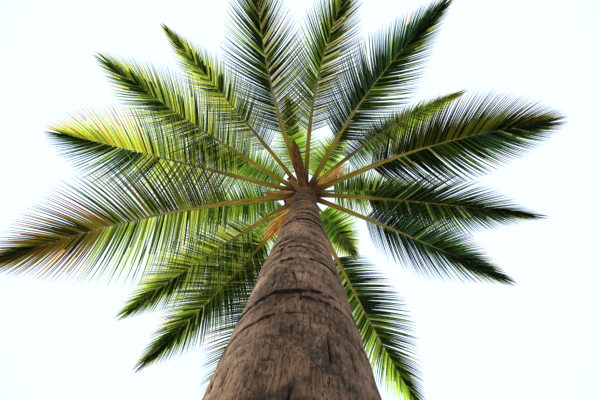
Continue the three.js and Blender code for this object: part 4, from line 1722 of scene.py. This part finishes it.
            # A dark band at each scar, wider up the trunk: partly the scar's own colour, partly painted
            # shade under the lip above it.
            edge = np.exp(-(offset / (band * between(self.band_least, 1, strength))) ** 2)
            dark += strength * edge * self.scar_dark.strength(jagged, patchy, broken)
        fibrous = np.clip((height - self.fibre_from) / self.fibre_fade, 0, 1)
        dark += fibrous * self.fibre_dark.strength(jagged, patchy)
        for side, level, radius, strength in self.stains:
            metres = ((turn - side + 0.5) % 1 - 0.5) * 2 * math.pi * trunk_radius(height)
            fade = np.exp(-(metres ** 2 + (height - level) ** 2) / radius ** 2)
            dark += strength * fade * self.stain_dark.strength(jagged, patchy)
        marks = self.marks(around, z)
        # Cracks and pits are darkened as painted shade, the deeper the darker.
        return out + marks, np.clip(self.dark_share * dark - marks / self.black_depth, 0, 1)

    def marks(self, around: np.ndarray, z: np.ndarray) -> np.ndarray:
        """Upright cracks and small pits.

        Args:
            around: the share of a turn of each column.
            z: the height of each row.

        Returns:
            How far each point stands out, by row and column: zero, or less in a mark.
        """
        draws = np.random.default_rng(self.seed)
        out = np.zeros((len(z), len(around)))
        for crack in self.long_cracks:
            crack.cut(out, around, z)
        for _ in range(self.cracks):
            low = draws.uniform(self.marks_from, TRUNK_HEIGHT - self.cracks_below_top)
            length = self.crack_least_length
            length += draws.gamma(self.crack_length_shape, self.crack_length_scale)
            Crack(
                draws.random(), low, low + length, draws.normal(0, self.crack_drift),
                draws.uniform(*self.crack_width), draws.uniform(*self.crack_depth),
            ).cut(out, around, z)
        for _ in range(self.pits):
            low = draws.uniform(self.marks_from, TRUNK_HEIGHT * self.pits_height_share)
            length = draws.uniform(*self.pit_length)
            Crack(
                draws.random(), low, low + length, 0.0,
                draws.uniform(*self.pit_width), draws.uniform(*self.pit_depth),
            ).cut(out, around, z)
        return out

    def build(self) -> None:
        """Makes the lengths."""
        around = np.arange(self.columns) / self.columns
        for number, (low, high) in enumerate(zip(self.joints[:-1], self.joints[1:]), 1):
            z = np.linspace(low, high, self.rows)
            # The second value is how dark each point is: stains and scars, and painted shade in cracks
            # and pits.
            relief, stain_and_shade = self.relief(around, z)
            plain = trunk_radius(z)[:, None]
            points, grain = rings(stem_centre(z), around, plain + relief, plain, z)
            name = f"trunk_bark_{number}"
            piece = closed_piece(name, points, grain, [BarkFinish()], crease=self.crease, stain_and_shade=stain_and_shade)
            hand_over(piece, "bark", "trunk")


@dataclass
class StemTip:
    """The top of the stem, wrapped in the dry fibre of old leaf sheaths."""

    rows: int = 90
    columns: int = 96
    # How far each layer of lumps stands out, its lumps in a turn, and their height.
    lumps: tuple[tuple[float, int, float], ...] = ((0.004, 40, 0.12), (0.004, 9, 0.05))
    seed: int = 91

    def build(self) -> None:
        """Makes the piece."""
        z = np.linspace(TRUNK_HEIGHT, TRUNK_HEIGHT + STEM_TIP_LENGTH, self.rows)
        around = np.arange(self.columns) / self.columns
        turn, height = np.meshgrid(around, z - TRUNK_HEIGHT)
        relief = sum(
            stand * closed_noise(turn, height, lumps, step, self.seed + number)
            for number, (stand, lumps, step) in enumerate(self.lumps)
        )
        radius = stem_tip_radius(z)[:, None] + relief
        points, grain = rings(stem_centre(z), around, radius, STEM_TIP_FOOT_RADIUS, z)
        hand_over(closed_piece("stem_tip_fibre", points, grain, [FIBRE]), "stem", "stem_tip")


@dataclass
class SpearLeaf:
    """The youngest leaf, still folded into a pleated spear."""

    length: float = 1.9
    radius: float = 0.034
    taper_from: float = 0.02
    taper_power: float = 0.6
    least_taper: float = 0.01
    pleats: int = 9
    pleat_depth: float = 0.16
    pleat_twist: float = 2.2
    rows: int = 60
    columns: int = 72

    def build(self) -> None:
        """Makes the piece."""
        foot = stem_centre(TRUNK_HEIGHT + STEM_TIP_LENGTH)
        share = np.linspace(0, 1, self.rows)[:, None]
        turn = np.arange(self.columns) / self.columns
        taper = np.clip((1 - share) / (1 - self.taper_from), self.least_taper, 1) ** self.taper_power
        pleats = np.abs(np.sin(math.pi * (self.pleats * turn + self.pleat_twist * share)))
        radius = self.radius * taper * (1 - self.pleat_depth * pleats)
        along = share[:, 0] * self.length
        points, grain = rings(foot + UP * along[:, None], turn, radius, self.radius, along)
        finishes = [Tone.YOUNG.value]
        piece = closed_piece("spear_leaf_pleated", points, grain, finishes, crease=LEAFLET_CREASE)
        hand_over(piece, "young_leaf", "spear_leaf")


def stem_foot(azimuth: float, height: float) -> np.ndarray:
    """Where a limb with this azimuth and height leaves the stem's tip."""
    z = TRUNK_HEIGHT + height
    return stem_centre(z) + heading(azimuth, 0) * (stem_tip_radius(z) - FOOT_OVERLAP)


def tube(lines: np.ndarray, radius: np.ndarray, sides: int) -> tuple[np.ndarray, np.ndarray]:
    """Round tubes along lines.

    Args:
        lines: the lines' places, by tube and step.
        radius: the radius, by tube and step.
        sides: how many columns a tube has.

    Returns:
        The tubes' places and places in the grain, by tube, step and column.
    """
    tangent = unit(np.gradient(lines, axis=1))
    side, over = across(tangent)
    turn = 2 * math.pi * np.arange(sides) / sides
    offset = side[:, :, None] * np.cos(turn)[:, None] + over[:, :, None] * np.sin(turn)[:, None]
    points = lines[:, :, None] + offset * radius[..., None, None]
    strides = np.linalg.norm(np.diff(lines, axis=1), axis=-1)
    along = np.concatenate([np.zeros((len(lines), 1)), np.cumsum(strides, axis=1)], axis=1)
    grain = np.zeros_like(points)
    grain[..., 0] = np.cos(turn) * radius[..., None]
    grain[..., 1] = np.sin(turn) * radius[..., None] + np.arange(len(lines))[:, None, None]
    grain[..., 2] = along[..., None]
    return points, grain


@dataclass
class FlowerCluster:
    """A stalk that ends in a brush of beaded strands.

    Metres and degrees. A pair of numbers is the range that a value is drawn from.
    """

    number: int
    azimuth: float
    rise: float
    height: float
    stalk: float = 0.43
    stalk_radius: float = 0.02
    stalk_taper: float = 0.4
    stalk_sides: int = 10
    strands: int = 66
    strand_length: float = 0.5
    strand_length_range: tuple[float, float] = (0.62, 1.0)
    strand_radius: float = 0.005
    strand_taper: float = 0.55
    strand_sides: int = 5
    strands_start: float = 0.2
    strands_end: float = 0.97
    spread: float = 28.0
    last_spread: float = 9.0
    spread_range: tuple[float, float] = (0.5, 1.15)
    sag: float = 0.06
    waviness: float = 0.006
    wave_turn: float = 7.0
    beads: int = 15
    bead_gain: float = 0.45
    beads_from: float = 0.15
    steps: int = 46
    seed: int = 300

    def build(self) -> None:
        """Makes the piece."""
        draws = np.random.default_rng(self.seed + self.number)
        line = heading(self.azimuth, self.rise)
        foot = stem_foot(self.azimuth, self.height)
        share = np.linspace(0, 1, self.steps)
        stalk = foot + line * (self.stalk * share)[:, None]
        radius = self.stalk_radius * (1 - self.stalk_taper * share)
        finishes = [STRAND, STRAW_STRAND, StalkFinish()]
        skin = Skin()
        skin.add_grids(*tube(stalk[None], radius[None], self.stalk_sides), len(finishes) - 1, closed=True)

        order = np.arange(self.strands) / (self.strands - 1)
        turn = np.radians(GOLDEN_ANGLE * np.arange(self.strands))
        off = between(self.spread, self.last_spread, order)
        off = off * draws.uniform(*self.spread_range, self.strands)
        ahead = heading(self.azimuth + off * np.cos(turn), self.rise + off * np.sin(turn))
        from_foot = self.stalk * between(self.strands_start, self.strands_end, order)
        start = foot + line * from_foot[:, None]
        length = self.strand_length * draws.uniform(*self.strand_length_range, self.strands)
        lines = start[:, None] + ahead[:, None] * (length[:, None] * share)[..., None]
        lines = lines - UP * (self.sag * length[:, None] * share ** 2)[..., None]
        for axis in range(3):
            phase = draws.uniform(0, 2 * math.pi, self.strands)[:, None]
            lines[..., axis] += self.waviness * share * np.sin(self.wave_turn * share + phase)
        beads = np.abs(np.sin(math.pi * self.beads * share)) * (share > self.beads_from)
        radius = self.strand_radius * (1 - self.strand_taper * share) * (1 + self.bead_gain * beads)
        kinds = draws.integers(0, 2, self.strands)[:, None] * np.ones((1, self.steps - 1), int)
        points, grain = tube(lines, np.tile(radius, (self.strands, 1)), self.strand_sides)
        skin.add_grids(points, grain, kinds, closed=True)
        name = f"flower_cluster_{self.number:02d}"
        hand_over(skin.build(f"{name}_strands", finishes), "flower", name)


@dataclass
class Spathe:
    """A dry, ribbed, woody boat that the flowers came out of."""

    number: int
    azimuth: float
    rise: float
    height: float
    length: float
    width: float
    finish: DryFinish
    wall: float = 0.006
    least_half_walls: float = 0.3
    hollow_least: float = 0.4
    depth_share: float = 0.62
    foot_share: float = 0.55
    belly_power: float = 0.8
    tip_share: float = 0.18
    tip_power: float = 0.7
    rib_height: float = 0.0016
    ribs_in_turn: int = 22
    rim_angle: float = 14.0
    rows: int = 60
    columns: int = 30

    def build(self) -> None:
        """Makes the piece."""
        share = np.linspace(0, 1, self.rows)
        belly = np.sin(math.pi * share ** self.belly_power)
        half = self.width / 2 * between(self.foot_share, 1, belly)
        half = half * np.minimum(1, (1 - share) / self.tip_share) ** self.tip_power
        half = (half + self.wall * self.least_half_walls)[:, None]
        turn = np.radians(between(self.rim_angle, 180 - self.rim_angle, np.linspace(0, 1, self.columns)))
        outer = half + self.rib_height * np.cos(turn * self.ribs_in_turn)
        inner = np.maximum(outer - self.wall, half * self.hollow_least)[:, ::-1]
        turn = np.concatenate([turn, turn[::-1]])
        radius = np.concatenate([outer, inner], axis=1)
        along = np.broadcast_to((self.length * share)[:, None], radius.shape)
        upward = -radius * self.depth_share * np.sin(turn)
        grain = np.stack([radius * np.cos(turn), upward, along], axis=-1)
        foot = stem_foot(self.azimuth, self.height)
        points = swung(grain, foot, heading(self.azimuth, self.rise))
        name = f"spathe_{self.number:02d}"
        hand_over(closed_piece(f"{name}_boat", points, grain, [self.finish]), "spathe", name)


@dataclass
class StalkStub:
    """The end of an old stalk with a slanting, weathered cut."""

    number: int
    azimuth: float
    rise: float
    height: float
    length: float
    width: float = 0.084
    depth: float = 0.046
    taper: float = 0.18
    roundness: float = 0.8
    slant: float = 0.5
    fray: float = 0.006
    frays_in_turn: int = 9
    fray_power: int = 6
    rows: int = 24
    cut_rows: int = 2
    columns: int = 28

    def build(self) -> None:
        """Makes the piece."""
        share = np.linspace(0, 1, self.rows)[:, None]
        turn = 2 * math.pi * np.arange(self.columns)[None] / self.columns
        scale = 1 - self.taper * share
        sideways = self.width / 2 * scale * squared_off(np.cos(turn), self.roundness)
        upward = self.depth / 2 * scale * squared_off(np.sin(turn), self.roundness)
        frayed = self.fray * np.sin(turn * self.frays_in_turn) * share ** self.fray_power
        along = self.length * share + self.slant * upward * share + frayed
        grain = np.stack([sideways, upward, along], axis=-1)
        foot = stem_foot(self.azimuth, self.height)
        points = swung(grain, foot, heading(self.azimuth, self.rise))
        is_cut = (np.arange(self.rows - 1) >= self.rows - 1 - self.cut_rows).astype(int)
        name = f"stalk_stub_{self.number:02d}"
        piece = closed_piece(f"{name}_cut", points, grain, [CUT_STALK, STALK_CUT], is_cut[None])
        hand_over(piece, "stub", name)


@dataclass
class Studio:
    """The camera at the photograph's angle, the pale floor and the soft light."""

    camera_place: tuple[float, float, float] = (0.044, -0.675, 0.5)
    nearest_seen: float = 0.02
    lens_mm: float = 18.0
    sensor_mm: float = 36.0
    floor_half: float = 45.0
    backdrop: str = "#d6e2f6"
    backdrop_strength: float = 1.0
    horizon_strength: float = 0.66
    # The upward share of a line of sight from which the backdrop has its full strength.
    backdrop_from: float = 0.7
    sun_from: tuple[float, float, float] = (-0.69, 0.1, 1.0)
    sun_colour: str = "#fff4dc"
    sun_strength: float = 5.4
    sun_softness: float = 12.0

    def build_camera(self) -> None:
        """Makes the camera, which looks straight up beside the trunk."""
        lens = bpy.data.cameras.new("camera")
        lens.lens, lens.sensor_width, lens.clip_start = self.lens_mm, self.sensor_mm, self.nearest_seen
        camera = bpy.data.objects.new("camera", lens)
        camera.location = self.camera_place
        camera.rotation_euler = (math.pi, 0, 0)
        bpy.context.scene.collection.objects.link(camera)
        bpy.context.scene.camera = camera

    def build_floor(self) -> None:
        """Makes the pale floor at ground level."""
        edge = np.array([-self.floor_half, self.floor_half])
        x, y = np.meshgrid(edge, edge)
        points = np.stack([x, y, 0 * x], axis=-1)[None]
        skin = Skin()
        skin.add_grids(points, points)
        skin.build("studio_floor", [FloorFinish()])

    def build_light(self) -> None:
        """Makes the pale surroundings and one large soft lamp above the crown."""
        world = bpy.data.worlds.new("studio")
        world.use_nodes = True
        tree = world.node_tree
        tree.nodes.clear()
        outlook = add_node(tree, "ShaderNodeTexCoord")
        parts = add_node(tree, "ShaderNodeSeparateXYZ", inputs={0: outlook.outputs["Generated"]})
        strength = add_node(tree, "ShaderNodeMapRange", inputs={
            "Value": parts.outputs["Z"], "From Min": 0.0, "From Max": self.backdrop_from,
            "To Min": self.horizon_strength, "To Max": self.backdrop_strength,
        })
        glow = add_node(tree, "ShaderNodeBackground", inputs={
            "Color": linear(self.backdrop), "Strength": strength.outputs[0],
        })
        add_node(tree, "ShaderNodeOutputWorld", inputs={"Surface": glow.outputs[0]})
        bpy.context.scene.world = world
        lamp = bpy.data.lights.new("key_light", "SUN")
        lamp.energy, lamp.angle = self.sun_strength, math.radians(self.sun_softness)
        lamp.color = linear(self.sun_colour)[:3]
        key = bpy.data.objects.new("key_light", lamp)
        key.rotation_euler = Vector(self.sun_from).to_track_quat("Z", "Y").to_euler()
        bpy.context.scene.collection.objects.link(key)

    def build(self) -> None:
        """Makes the camera, the floor and the light."""
        self.build_camera()
        self.build_floor()
        self.build_light()
        bpy.context.scene.view_settings.view_transform = "Standard"
        bpy.context.scene.view_settings.look = "High Contrast"


def main() -> None:
    """Builds the palm and its studio in order."""
    logging.basicConfig(level=logging.INFO, format="%(name)s: %(message)s")
    for part in (
        Studio(),
        Trunk(),
        StemTip(),
        SpearLeaf(),
        FlowerCluster(1, azimuth=325.5, rise=35, height=0.152),
        FlowerCluster(2, azimuth=133, rise=20, height=0.046),
        Spathe(1, azimuth=259, rise=38, height=0.06, length=1.0, width=0.13, finish=SPATHE_SKIN),
        Spathe(2, azimuth=182.5, rise=28, height=0.2, length=0.6, width=0.092, finish=PALE_SPATHE),
        StalkStub(1, azimuth=228, rise=22, height=0.04, length=0.25),
        StalkStub(2, azimuth=162, rise=10, height=0.03, length=0.19),
        Crown(),
    ):
        part.build()


if __name__ == "__main__":
    main()
